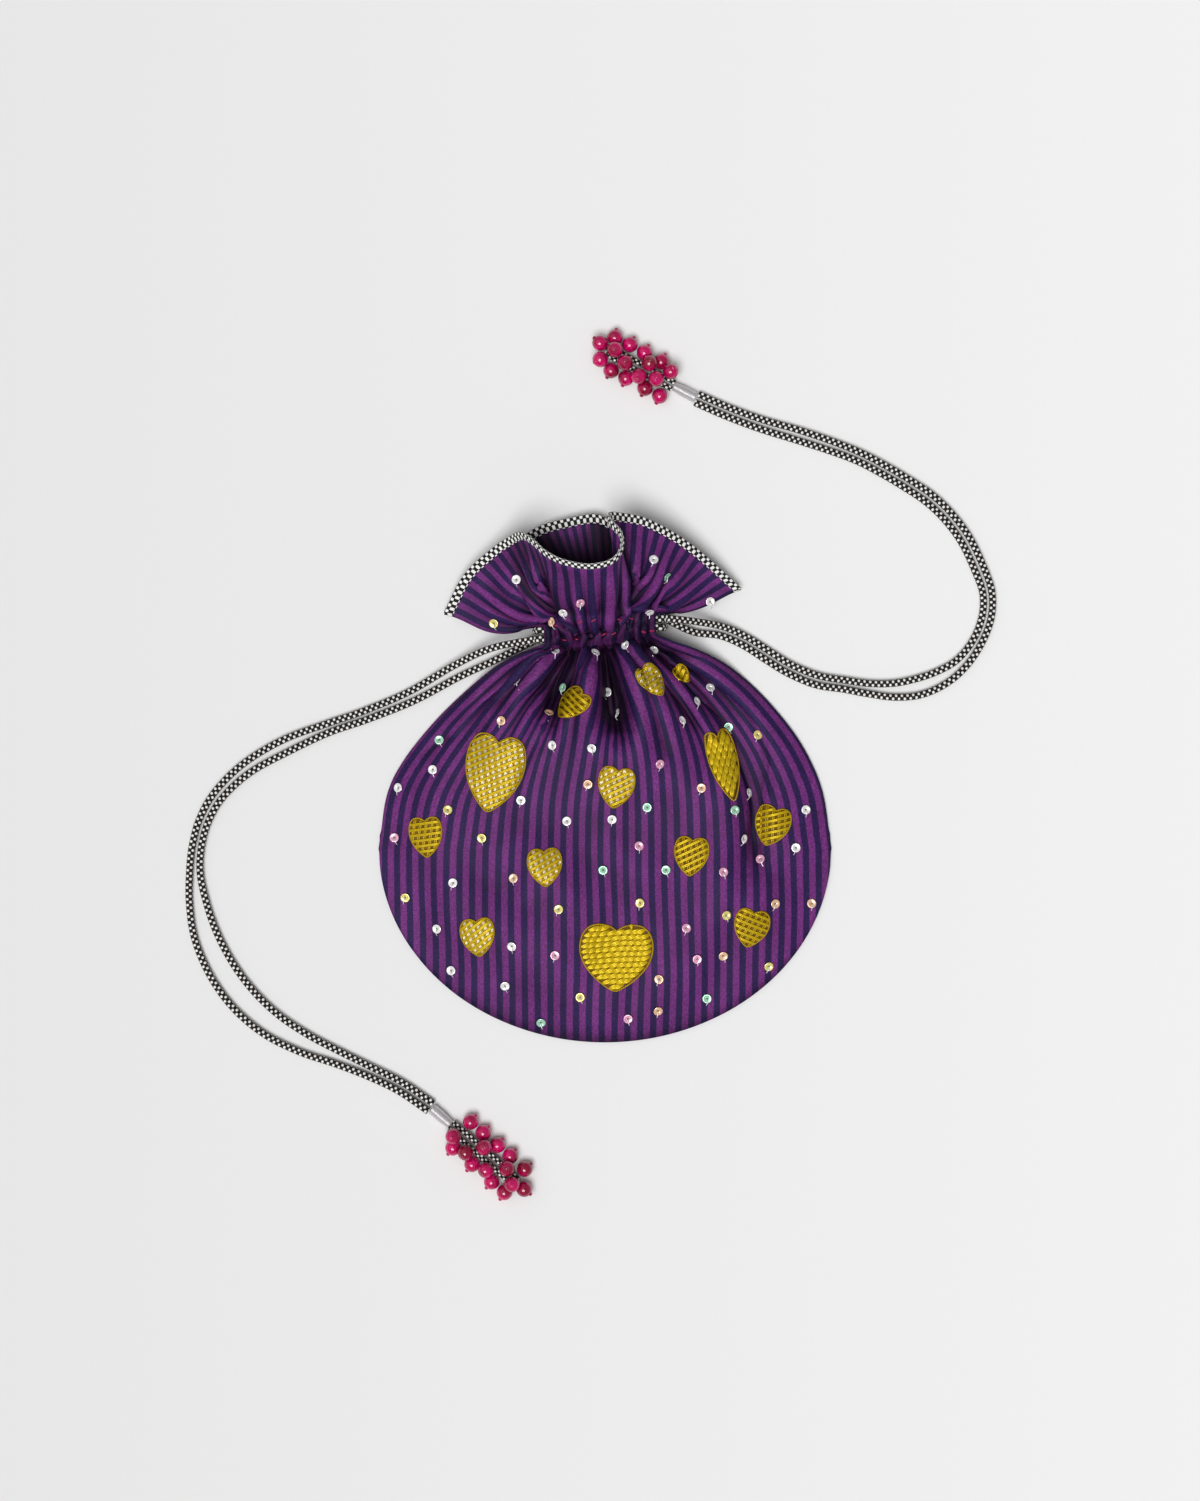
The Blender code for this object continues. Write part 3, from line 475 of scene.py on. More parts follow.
def front_body(s, y_cloth):
    """Lower side of the front panel between the hem and the neck."""
    share, x, y = on_body(s, y_cloth, FRONT_TABLE)
    inside = np.clip((HALF_WIDTH - np.abs(s)) / EDGE_CALM, 0, 1)
    inside *= np.clip((y_cloth - hem_y(s)) / EDGE_CALM, 0, 1)
    x = x + 0.9 * np.sin(y_cloth / 19.0 + s / 37.0) * np.sin(s / 29.0 + 1.0) * inside
    seam = CLOTH_THICKNESS + GAP + seam_height(share)
    soft = 1.3 * np.sin(s / 19.0 + y_cloth / 30.0) + 0.9 * np.sin(s / 12.0 - y_cloth / 21.0 + 1.0)
    lift = pillow(s, y_cloth, share)
    z = seam + lift + soft * lift / 15.0 + small_wrinkles(s, y_cloth) * np.clip(lift / 9.0, 0, 1)
    z -= FOLD_DEPTH * valley_depth(s, share, FRONT_VALLEYS) * np.clip(lift / 10.0, 0, 1)
    neck = ease(0.80, 1.0, share)
    z = z * (1 - neck) + FRONT_NECK_Z * neck
    z -= large_folds(x, y) * np.clip(lift / 9.0, 0, 1) * (1 - ease(0.965, 1.0, share))
    return x, y, np.maximum(z, 4.5 * np.clip(lift / 9.0, 0, 1))


def back_body(s, y_cloth):
    """Lower side of the back panel: flat on the floor, with pleats towards the neck."""
    share, x, y = on_body(s, y_cloth, BACK_TABLE)
    edge = np.abs(s) / HALF_WIDTH
    z = seam_height(share) * edge ** 6
    z += 3.2 * valley_depth(s, share, BACK_VALLEYS) * (1 - edge ** 4)
    wave = pleat_wave(gathered(BACK_TABLE, s, np.ones_like(s)))
    neck = ease(0.86, 1.0, share)
    return x, y, z * (1 - neck) + NECK_PLEAT * wave * neck


# %% Channel and ruffle
def band(s, share, table, neck_z):
    """Cord channel: its pleats run straight across it."""
    across = gathered(table, s, np.ones_like(s))
    if neck_z > 0:
        over = ease(0.1, 0.9, share)
        across = across * (1 - over) + gathered(RUFFLE_TABLE, s, np.ones_like(s)) * over
    x, y = row_place(across, np.ones_like(s))
    z = neck_z + NECK_PLEAT * pleat_wave(across) * (neck_z == 0)
    return x, y + BAND_WIDTH * share, z


def ruffle(s, share, table, rim_line, neck_z, bulge):
    """Ruffle: ruled from the channel to its rim, its sides drawn together but not joined."""
    x, y, z = band(s, np.ones_like(s), table, neck_z)
    rim = read_line(rim_line, (s + HALF_WIDTH) / PANEL_WIDTH)
    side = (np.abs(s) / HALF_WIDTH) ** 6
    soon = share ** (1 - 0.45 * (neck_z > 0) * (1 - (s / HALF_WIDTH) ** 2) ** 2)
    px = x * (1 - soon) + rim[..., 0] * soon
    py = y * (1 - share) + rim[..., 1] * share
    pz = z * (1 - share) + rim[..., 2] * share + bulge * (1 - side) * 4 * share * (1 - share)
    droop = np.where(s < 0, LEFT_WING_DROOP, RIGHT_WING_DROOP) * (np.abs(s) / HALF_WIDTH) ** 4
    py = py - droop * np.sin(math.pi * share) ** 2
    if neck_z > 0:
        pz = pz + 0.8 * share * np.sin(s / 8.3 + 1.0) * (1 - side)
        held = ease(0.0, 0.12, share) * (1 - ease(0.7, 1.0, share)) * (1 - side)
        pz = pz - large_folds(px, py, RUFFLE_FOLDS) * held * np.clip((pz - 6.0) / 12.0, 0, 1)
    shut = side * ease(0.0, 0.3, share)
    seam = SEAM_RISE * (1 - share) ** 1.3 + BACK_RIM[0][2] * share
    if neck_z > 0:
        seam = seam + CLOTH_THICKNESS + GAP
        seam = seam + (rim[..., 2] - seam) * ease(0.7, 1.0, share)
    return px, py, pz * (1 - shut) + seam * shut


# %% Gathers from the cloth's spare width
ANGLES = np.linspace(0, 2.1, 211)
HALF_TURN = np.linspace(0, math.pi, 65)
SHORTENING = np.array([np.mean(np.cos(a * np.sin(HALF_TURN))) for a in ANGLES])
FOLD_LIFT = 3.0


def grid_normals(points):
    normal = np.cross(np.gradient(points, axis=1), np.gradient(points, axis=0))
    return normal / (np.linalg.norm(normal, axis=2, keepdims=True) + 1e-9)


def evened(values, s, reach):
    """Running mean over a stretch of cloth, to take out the drift of a sum."""
    step = np.linspace(s[0], s[-1], 400)
    width = max(3, int(reach / (step[1] - step[0])) | 1)
    kernel = np.hanning(width + 2)[1:-1]
    kernel /= kernel.sum()
    rows = []
    for row in values:
        flat = np.interp(step, s, row)
        padded = np.pad(flat, width // 2, mode="edge")
        rows.append(np.interp(s, step, np.convolve(padded, kernel, "valid")))
    return np.array(rows)


def meander(points, s, weight, fine, tension):
    """Folds each row of cloth into a meander as long as the cloth: a sine-generated curve."""
    ds = np.gradient(s)
    tangent = np.gradient(points, axis=1) / ds[None, :, None]
    ratio = np.linalg.norm(tangent, axis=2)
    tangent /= ratio[..., None] + 1e-9
    ratio = evened(ratio, s, 16.0)
    ratio = np.clip(ratio, SHORTENING[-1], 1.0) ** weight
    steep = np.interp(ratio, SHORTENING[::-1], ANGLES[::-1])
    phase = 2 * math.pi * (s / 13.6 + 0.30 * np.sin(s / 15.0 + 0.6) + 0.22 * np.sin(s / 6.7 + 2.0))
    angle = steep * np.sin(phase[None, :] + tension)
    up = np.cumsum(np.sin(angle) * ds, axis=1)
    on = np.cumsum((np.cos(angle) - ratio) * ds, axis=1)
    up -= evened(up, s, 24.0)
    on -= evened(on, s, 24.0)
    normal = grid_normals(points)
    rise = up + FOLD_LIFT * weight + fine
    return points + normal * rise[..., None] + tangent * on[..., None]


def gather_front(points, places):
    """Weights of the folds: full at the channel, fading down the body and up to the rim."""
    s = places[0, :, 0]
    along = places[:, :, 1]
    share = np.clip((along - WIDEST_Y) / SHOULDER_HEIGHT, 0, 1)
    out = np.clip((along - NECK_Y - BAND_WIDTH) / RUFFLE_LENGTH, 0, 1)
    ends = 1 - (np.abs(s) / HALF_WIDTH) ** 10
    weight = ease(0.42, 0.96, share) * (1 - ease(0.30, 0.86, out)) * ends
    hollow = np.clip(large_folds(points[..., 0], points[..., 1]) / 13.0, 0, 1)
    weight = weight * (1 - 0.85 * hollow * (1 - ease(0.93, 1.0, share)))
    in_band = (along - NECK_Y) / BAND_WIDTH
    near = np.exp(-((in_band - 0.5) / 0.62) ** 4)
    squeeze = np.exp(-((in_band - 0.5) / 1.15) ** 4) * ends
    points[..., 1] -= 0.42 * (in_band - 0.5) * BAND_WIDTH * squeeze
    points[..., 1] -= 2.0 * squeeze * np.exp(-((points[..., 0] + 5.0) / 9.0) ** 2)
    crinkle = np.sin(s / 0.71 + 1.7 * np.sin(s / 9.0)) * np.sin(in_band * 2.6 + s / 3.1)
    crinkle += 0.8 * np.sin(s / 1.9 + 3.1 * in_band) * np.sin(s / 5.0 - 2.0 * in_band)
    sunk = np.exp(-((in_band - 0.5) / 0.62) ** 2)
    pinch = np.exp(-((in_band - 0.06) / 0.10) ** 2) + np.exp(-((in_band - 0.94) / 0.10) ** 2)
    heap = np.exp(-((in_band + 0.75) / 0.5) ** 2) + np.exp(-((in_band - 1.7) / 0.45) ** 2)
    fine = (near * (0.9 * crinkle - 1.8 * sunk - 0.5 * pinch) + 2.2 * heap) * ends
    tension = 0.5 * np.sin(along / 23.0 + s / 31.0)
    tension += 0.9 * np.tanh(2.5 * (in_band - 0.5)) * np.sin(s / 9.0)
    points[..., 1] += near * (1.1 * np.sin(s / 3.3 + 1.2 * np.sin(s / 7.0))
                              + 0.6 * np.sin(s / 1.3)) * ends
    return meander(points, s, weight, fine, tension)


# %% Grid of a panel
def panel_points(body, side, columns, body_rows, band_rows, ruffle_rows):
    """Grid of points from hem to binding, with each point's place on the flat cut."""
    table, _, neck_z, _ = side
    turn = np.linspace(-1, 1, columns + 1)
    s = HALF_WIDTH * (0.72 * turn + 0.28 * np.sin(turn * math.pi / 2))
    v = (np.linspace(0, 1, body_rows + 1) ** 0.9)[:, None]
    y_cloth = hem_y(s) + v * (NECK_Y - hem_y(s))
    b = np.linspace(0, 1, band_rows + 1)[1:, None] * np.ones_like(s)
    r = np.linspace(0, BINDING_SHARE, ruffle_rows + 1)[1:, None] * np.ones_like(s)
    blocks, places = [], []
    for rows, along, folded in (
            (y_cloth, y_cloth, body),
            (b, NECK_Y + BAND_WIDTH * b, lambda s, b: band(s, b, table, neck_z)),
            (r, NECK_Y + BAND_WIDTH + RUFFLE_LENGTH * r, lambda s, r: ruffle(s, r, *side))):
        across = np.broadcast_to(s, rows.shape)
        blocks.append(np.stack(folded(across, rows), axis=-1))
        places.append(np.stack([across, along], axis=-1))
    return np.vstack(blocks), np.vstack(places)


# %% Laying a grid on points
def laid_grid(name, points, places, material, wall=0.0, offset=1.0, merge=False):
    """A mesh grid laid on rows of points in millimetres; places become its UV map in metres."""
    rows, cols = points.shape[:2]
    bm = bmesh.new()
    bmesh.ops.create_grid(bm, x_segments=cols - 1, y_segments=rows - 1, size=1)
    mesh = mesh_from(bm, name)
    flat = np.empty(len(mesh.vertices) * 3)
    mesh.vertices.foreach_get("co", flat)
    flat = flat.reshape(-1, 3)
    col = np.rint((flat[:, 0] + 1) / 2 * (cols - 1)).astype(int)
    row = np.rint((flat[:, 1] + 1) / 2 * (rows - 1)).astype(int)
    mesh.vertices.foreach_set("co", (points[row, col] * MM).ravel())
    corner = np.empty(len(mesh.loops), int)
    mesh.loops.foreach_get("vertex_index", corner)
    uv = mesh.uv_layers.new(name="cloth")
    uv.data.foreach_set("uv", (places[row, col][corner] * MM).ravel())
    if merge:
        bm = bmesh.new()
        bm.from_mesh(mesh)
        bmesh.ops.remove_doubles(bm, verts=bm.verts, dist=1e-6)
        bmesh.ops.holes_fill(bm, edges=[e for e in bm.edges if e.is_boundary])
        bmesh.ops.recalc_face_normals(bm, faces=bm.faces)
        bm.to_mesh(mesh)
        bm.free()
    mesh.shade_smooth()
    mesh.materials.append(material)
    piece = place_mesh(name, mesh)
    if wall:
        thick = piece.modifiers.new("Wall", "SOLIDIFY")
        thick.thickness = wall * MM
        thick.offset = offset
        thick.use_rim = True
    return piece


def settle(piece, slot, *nodes):
    """The piece rides with the bag, and stands for the CAD nodes that it names."""
    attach(piece, "root")
    if nodes:
        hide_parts(*nodes)
    return piece


# %% [markdown]
# ## Striped satin
# Satin floats its long warp threads on the face, so it shines softly and streakily along them.
# The cloth is woven with stripes of violet and indigo, about 3.2 mm each. The stripes read the UV
# map, which holds each point's place on the flat cut in metres, so they bend with every fold.

# %% Satin material
def striped_satin(name, light, dark, shine):
    """Stripes across the flat cut, streaks along it, and painted shade from a value kept on each
    vertex.
    """
    made, tree, shader = new_material(name)
    uv = add(tree, "UVMap", uv_map="cloth").outputs[0]
    across = add(tree, "SeparateXYZ", {0: uv}).outputs["X"]
    jitter = ranged(tree, noise(tree, uv, 1400.0, 2.0), 0.0, 1.0, -0.00022, 0.00022)
    wander = math_node(tree, "ADD", across, jitter)
    turn = math_node(tree, "MULTIPLY", wander, 2 * math.pi / (STRIPE_PERIOD * MM))
    stripe = ranged(tree, math_node(tree, "SINE", turn), -0.28, 0.28,
                    interpolation_type="SMOOTHSTEP")
    streak = noise(tree, stretched(tree, uv, 2600.0, 420.0, 1.0), 1.0, 3.0, Roughness=0.65)
    slub = ranged(tree, streak, 0.3, 0.7, 0.62, 1.42)
    haze = ranged(tree, noise(tree, uv, 55.0, 2.0), 0.3, 0.7, 0.86, 1.14)
    nub = noise(tree, stretched(tree, uv, 800.0, 1500.0, 1.0), 1.0, 1.0)
    grain = ranged(tree, nub, 0.3, 0.7, 0.72, 1.28)
    # Painted shade: the value kept on each vertex darkens the colour of faces that point up.
    painted_shade_value = add(tree, "Attribute", attribute_name="painted_shade").outputs["Fac"]
    facing = add(tree, "SeparateXYZ", {0: add(tree, "TexCoord").outputs["Normal"]}).outputs["Z"]
    upper = ranged(tree, facing, -0.1, 0.1, 1.0, painted_shade_value)
    deep = math_node(tree, "MULTIPLY", haze, upper)
    rough_cloth = math_node(tree, "MULTIPLY", slub, grain)
    both = math_node(tree, "MULTIPLY", rough_cloth, deep)
    tone = blend(tree, 1.0, blend(tree, stripe, paint(dark), paint(light)), both,
                 blend_type="MULTIPLY")
    rough = ranged(tree, streak, 0.0, 1.0, shine - 0.08, shine + 0.10)
    weave = noise(tree, stretched(tree, uv, 1500.0, 1000.0, 1.0), 1.0, 2.0)
    bump = add(tree, "Bump", {"Strength": 0.35, "Distance": 0.00012, "Height": weave})
    plug(tree, shader, Base_Color=tone, Roughness=rough, Specular_IOR_Level=0.13,
         Sheen_Weight=0.03, Sheen_Roughness=0.4, Sheen_Tint=paint("C98BE0"),
         Normal=bump.outputs[0])
    return made


SATIN = striped_satin("woven_striped_satin", "692C6F", "2A1A48", 0.58)

# %% [markdown]
# ## Front and back panels
# Each panel is one grid laid on the folded surface and given the cloth's thickness by Solidify. A
# simulation could fall into folds by itself, but these folds are known from the photograph, so
# they are placed one by one and the gathers come from the formula above.

# %% [markdown]
# ## Shade in the folds
# Deep folds look darker in the photograph than the lights alone make them here. So each vertex
# keeps a value from how deep it lies under its surroundings, and the satin's colour is multiplied
# by it on the upper faces.

# %% Painted shade in the folds
PLAN_CELL = 1.2
# Half width of each window in cells, free depth, greatest depth and divisor
PAINTED_SHADE_WINDOWS = ((1, 0.3, 9.0, 3.0), (3, 0.6, 14.0, 5.0), (6, 1.2, 18.0, 5.5))


def blurred(grid, down, across):
    """Mean of a grid's values over a window of rows and columns, run three times over."""
    for axis, half in ((0, down), (1, across)) * 3:
        width = 2 * half + 1
        pad = [(half + 1, half) if k == axis else (0, 0) for k in (0, 1)]
        sums = np.cumsum(np.pad(grid, pad, mode="edge"), axis=axis)
        if axis == 0:
            grid = (sums[width:] - sums[:-width]) / width
        else:
            grid = (sums[:, width:] - sums[:, :-width]) / width
    return grid


def painted_shade(points, strength, roof=None):
    """Painted shade for each vertex: how open the cloth lies to the sky, less where it sinks below
    its surroundings in plan or lies under a roof.
    """
    z = points[..., 2]
    column = (points[..., 0] + 130.0) / PLAN_CELL
    row = (points[..., 1] + 150.0) / PLAN_CELL
    plan = np.zeros((int(300 / PLAN_CELL), int(260 / PLAN_CELL)))
    np.maximum.at(plan, (row.astype(int), column.astype(int)), z)
    if roof is not None:
        plan = np.maximum(plan, roof)
    for _ in range(2):
        near = np.maximum.reduce([np.roll(plan, (i, k), (0, 1))
                                  for i in (-1, 0, 1) for k in (-1, 0, 1)])
        plan = np.where(plan > 0, plan, near)
    sunk = np.clip(blurred(z, 2, 4) - z, 0, 3) / 3.0
    for reach, spare, limit, share in PAINTED_SHADE_WINDOWS:
        wide = blurred(plan, reach, reach)
        over = between_cells(wide, row, column)
        sunk += np.clip(over - z - spare, 0, limit) / share
    return 1 / (1 + strength * sunk), plan


def painted_neck_shade(along):
    """Painted shade at the cord channel for its creases, which are finer than the grid, and painted
    shade on the cloth just below and above it.
    """
    in_band = (along - NECK_Y) / BAND_WIDTH
    under = np.exp(-(np.maximum(NECK_Y - along, 0) / 20.0) ** 2)
    over = np.exp(-(np.maximum(along - NECK_Y - BAND_WIDTH, 0) / 5.0) ** 2)
    return (1 - 0.5 * np.exp(-np.abs((in_band - 0.5) / 0.72) ** 4)) * (1 - 0.32 * under * over)


def mark(piece, name, values):
    """Keeps one value a vertex; the grid's vertices run column by column along each row."""
    layer = piece.data.attributes.new(name, "FLOAT", "POINT")
    layer.data.foreach_set("value", values.ravel())


# %% Panels
# Columns, then rows of the body, of the channel and of the ruffle
FRONT_GRID = (340, 88, 9, 46)
BACK_GRID = (200, 70, 5, 30)
front_points, front_places = panel_points(front_body, FRONT_SIDE, *FRONT_GRID)
front_points = gather_front(front_points, front_places)
back_points, back_places = panel_points(back_body, BACK_SIDE, *BACK_GRID)
front_cloth = laid_grid("front_cloth", front_points, front_places, SATIN, CLOTH_THICKNESS)
back_cloth = laid_grid("back_cloth", back_points, back_places, SATIN, CLOTH_THICKNESS)
# Painted shade kept on each vertex: the front darkens in its folds and round the cord channel, the
# back under the front.
front_shade, front_plan = painted_shade(front_points, 1.7)
mark(front_cloth, "painted_shade", front_shade * painted_neck_shade(front_places[..., 1]))
mark(back_cloth, "painted_shade", painted_shade(back_points, 0.75, front_plan)[0])
print("front cloth", front_points.shape, "back cloth", back_points.shape)

for panel, node in ((front_cloth, "front_panel"), (back_cloth, "back_panel")):
    settle(panel, "satin", node)

bpy.context.view_layer.update()
FRONT_TREE = BVHTree.FromObject(front_cloth, bpy.context.evaluated_depsgraph_get())


def top_at(x, y, fallback=20.0):
    """Top of the front panel and its slope at a plan position in millimetres."""
    spot, normal = FRONT_TREE.ray_cast(Vector((x, y, 200)) * MM, Vector((0, 0, -1)))[:2]
    if spot is None:
        return fallback, Vector((0, 0, 1))
    return spot.z / MM, normal if normal.z > 0 else -normal


# %% [markdown]
# ## Checked binding
# The rim is bound with cotton tape cut on the bias, so its small checks stand on their corners.
# A folded tape is rounded at its edge. The cell sweeps a rounded section along the rim.

# %% Binding material
def braid(tree, along, around):
    """Staggered ovals, 1 in a light yarn and 0 between: a sum of two slanted waves."""
    waves = []
    for operation in ("ADD", "SUBTRACT"):
        turn = math_node(tree, "MULTIPLY", math_node(tree, operation, along, around), 2 * math.pi)
        waves.append(math_node(tree, "COSINE", turn))
    return math_node(tree, "ADD", *waves)


def checked_yarn(name, scale, limits, colours, shades, yarn, relief, rough):
    """Light and dark lozenges. yarn is the grain's scale, detail and whether it follows them."""
    made, tree, shader = new_material(name)
    uv = add(tree, "UVMap", uv_map="cloth").outputs[0]
    scaled = stretched(tree, uv, *scale, 1.0)
    split = add(tree, "SeparateXYZ", {0: scaled})
    ovals = braid(tree, split.outputs["X"], split.outputs["Y"])
    light = ranged(tree, ovals, *limits, interpolation_type="SMOOTHSTEP")
    size, detail, follows = yarn
    grain = noise(tree, scaled if follows else uv, size, detail)
    shade = ranged(tree, grain, 0.3, 0.7, *shades)
    two = blend(tree, light, *map(paint, colours))
    strength, distance = relief
    bump = add(tree, "Bump", {"Strength": strength, "Distance": distance, "Height": ovals})
    plug(tree, shader, Base_Color=blend(tree, 1.0, two, shade, blend_type="MULTIPLY"),
         Roughness=rough, Specular_IOR_Level=0.3, Normal=bump.outputs[0])
    return made


CHECK_SIZE = 1.6
BIAS_TAPE = checked_yarn("bias_cut_cotton_tape", (0.5 / (CHECK_SIZE * MM),) * 2, (0.0, 0.35),
                         ("131116", "F4F3EF"), (0.8, 1.08), (2500.0, 2.0, False),
                         (0.4, 0.00015), 0.8)
BINDING_THICKNESS = 2.0
BINDING_COLUMNS = 420


# %% Binding strips
def folded_tape(name, side, node):
    """Tape folded round the rim: a flattened ring swept from seam to seam."""
    s = HALF_WIDTH * np.linspace(-1, 1, BINDING_COLUMNS + 1)
    shares = np.linspace(BINDING_SHARE - 0.012, 1.0, 5)[:, None] * np.ones_like(s)
    sheet = np.stack(ruffle(np.broadcast_to(s, shares.shape), shares, *side), axis=-1)
    normal = grid_normals(sheet)
    middle = sheet.mean(axis=0) + normal.mean(axis=0) * CLOTH_THICKNESS / 2
    reach = (sheet[-1] - sheet[0]) / 2
    lift = normal.mean(axis=0)
    lift /= np.linalg.norm(lift, axis=1, keepdims=True)
    around = np.linspace(0, 2 * math.pi, 17)
    rings = []
    for a in around:
        wide = np.sign(math.cos(a)) * abs(math.cos(a)) ** 0.7
        tall = math.sin(a) * BINDING_THICKNESS / 2
        rings.append(middle + reach * wide + lift * tall)
    rings = np.array(rings)
    along = distances(middle)
    turn_length = 2 * BINDING_WIDTH + 2.0
    places = np.stack([np.broadcast_to(along, rings.shape[:2]),
                       np.broadcast_to(around[:, None] / (2 * math.pi) * turn_length,
                                       rings.shape[:2])], axis=-1)
    piece = laid_grid(name, rings, places, BIAS_TAPE, merge=True)
    return settle(piece, "checked_binding", node)


folded_tape("front_edging", FRONT_SIDE, "front_binding")
folded_tape("back_edging", BACK_SIDE, "back_binding")

# %% [markdown]
# ## Woven cords
# Each drawstring is a round cord woven from black and white yarns, so light and dark lozenges
# alternate along and around it. Its two strands leave the neck one above the other and run to a
# silver thread wrap. The route's points are the ones that the CAD model uses, read as a smooth line.

# %% Routes in millimetres: middle of the pair and the distance between its strands
LEFT_ROUTE = [(-56.0, 62.0, 6.0), (-74.5, 53.5, 6.2), (-97.0, 41.0, 5.2), (-120.0, 31.5, 4.6),
              (-139.5, 24.8, 4.6), (-160.5, 16.0, 6.5), (-180.0, 4.8, 5.6), (-194.0, -8.5, 4.8),
              (-201.5, -21.5, 4.6), (-205.0, -34.5, 4.6), (-206.0, -48.0, 5.4),
              (-204.5, -63.0, 8.5), (-200.5, -79.5, 11.5), (-192.5, -96.5, 13.0),
              (-181.5, -111.5, 13.2), (-167.5, -124.0, 12.0), (-151.0, -133.5, 9.5),
              (-134.5, -140.5, 6.6), (-118.5, -147.5, 5.0), (-103.0, -155.0, 4.7),
              (-87.5, -165.5, 4.6)]
RIGHT_ROUTE = [(44.5, 75.8, 5.0), (58.5, 73.6, 4.6), (70.5, 68.5, 4.6), (81.5, 61.5, 4.6),
               (93.0, 54.5, 4.6), (106.5, 49.0, 4.8), (120.0, 46.8, 4.6), (132.5, 44.8, 5.2),
               (145.0, 44.0, 7.0), (157.0, 45.6, 8.4), (168.5, 50.0, 7.6), (178.5, 57.0, 5.6),
               (186.5, 67.5, 4.6), (191.5, 80.0, 4.6), (192.0, 93.0, 4.6), (187.5, 106.0, 4.7),
               (181.0, 119.5, 4.7), (172.5, 131.0, 4.7), (162.5, 140.5, 4.7), (150.0, 148.8, 4.6),
               (138.0, 155.8, 4.6), (127.0, 161.4, 4.6), (113.5, 166.6, 4.9), (96.5, 172.2, 5.2),
               (79.0, 177.4, 4.8), (62.0, 183.6, 4.6), (46.0, 190.6, 4.6)]


# %% Cord material
CORD_CELL = 2.9
CORD_COLUMNS = 6
# The UV map runs in metres along the cord and 0 to 1 around it, in mm
COTTON_CORD = checked_yarn("black_and_white_cotton_cord",
                           (1 / (CORD_CELL * MM), CORD_COLUMNS / 2 / MM), (0.25, 0.85),
                           ("161418", "F4F0EA"), (0.75, 1.06), (3.4, 3.0, True),
                           (0.5, 0.0002), 0.75)


# %% Cord tube
def tube_rings(line, radius, sides, lumps=0.0):
    """Rings round a line, with the swell of each woven lozenge."""
    side, up = ways(line)
    along = distances(line)
    rings, places = [], []
    for k in range(sides + 1):
        share = k / sides
        a = 2 * math.pi * share
        swell = radius
        if lumps:
            phase = 2 * math.pi * along / CORD_CELL
            turn = math.pi * share * CORD_COLUMNS
            swell = radius + lumps * (0.25 * (np.cos(phase + turn) + np.cos(phase - turn)) - 0.35)
            swell = swell[:, None]
        rings.append(line + (side * math.cos(a) + up * math.sin(a)) * swell)
        places.append(np.stack([along, np.full_like(along, share)], axis=1))
    return np.array(rings), np.array(places)


def cord_piece(name, line, diameter):
    rings, places = tube_rings(line, diameter / 2, 18, lumps=0.22)
    return laid_grid(name, rings, places, COTTON_CORD, merge=True)


def tunnel_y(x, side):
    middle = NECK_Y + BAND_WIDTH / 2 + NECK_ARCH / 2
    return middle + NECK_SLOPE * (x - NECK_X) + side * CORD_PITCH / 2


def strand_line(route, side, start, heights):
    """One strand of a pair, from the neck's end down to the floor and on to the wrap."""
    points = [start]
    flat = np.array([row[:2] for row in route])
    ahead = np.gradient(flat, axis=0)
    ahead /= np.linalg.norm(ahead, axis=1, keepdims=True)
    for k, (x, y, spread) in enumerate(route):
        height = heights[k] if k < len(heights) else FLOOR_CORD_Z
        points.append((x - ahead[k, 1] * side * spread / 2, y + ahead[k, 0] * side * spread / 2,
                       height))
    return smooth_line(points, step=0.7)


# %% [markdown]
# ## Thread wraps, bead loops and beads
# The two strands' ends are bound together with metallic thread, wound turn by turn. A short loop of
# the same cord comes out of the wrap and carries glossy round beads, each sewn on by a small nub.

# %% Wrap, loop and bead materials
def speckled(name, scale, detail, dark, light, limits=None, **look):
    """A material whose colour wanders between two tones."""
    made, tree, shader = new_material(name)
    share = noise(tree, add(tree, "TexCoord").outputs["Object"], scale, detail)
    if limits:
        share = ranged(tree, share, *limits)
    plug(tree, shader, Base_Color=blend(tree, share, paint(dark), paint(light)), **look)
    return made


SILVER_THREAD = speckled("wound_silver_thread", 1800.0, 2.0, "9A979C", "F3F1F2", Metallic=0.55,
                         Roughness=0.36)
BEAD_RESIN = speckled("polished_magenta_resin", 95.0, 1.0, "86002F", "C4005F", (0.36, 0.64),
                      Roughness=0.10, Specular_IOR_Level=0.5, Coat_Weight=0.5,
                      Coat_Roughness=0.03)
BEAD_DIAMETER = 8.0


def thread_wrap(name, start, ahead, length, diameter, top):
    """Turns of thread side by side: each turn is one ridge of the wall."""
    pitch = 0.62
    steps = int(length / pitch * 8)
    far = np.linspace(0, length, steps + 1)
    line = start + far[:, None] * ahead + np.array([0, 0, top])
    rings, places = tube_rings(line, diameter / 2, 24)
    ridge = 0.14 * np.abs(np.sin(math.pi * far / pitch))
    taper = 1 - 0.16 * ease(0.55, 1.0, far / length) - 0.08 * ease(0.9, 1.0, 1 - far / length)
    middle = line[None]
    rings = middle + (rings - middle) * (taper * (1 + ridge / (diameter / 2)))[None, :, None]
    return laid_grid(name, rings, places, SILVER_THREAD, merge=True)


def turned(profile, steps, weld):
    """A bmesh turned from radii and heights; points nearer than weld become one."""
    bm = bmesh.new()
    ring = [bm.verts.new((radius, 0, height)) for radius, height in profile]
    edges = [bm.edges.new(pair) for pair in zip(ring, ring[1:])]
    bmesh.ops.spin(bm, geom=ring + edges, cent=(0, 0, 0), axis=(0, 0, 1), angle=2 * math.pi,
                   steps=steps, use_merge=True)
    bmesh.ops.remove_doubles(bm, verts=bm.verts, dist=weld)
    bmesh.ops.recalc_face_normals(bm, faces=bm.faces)
    return bm


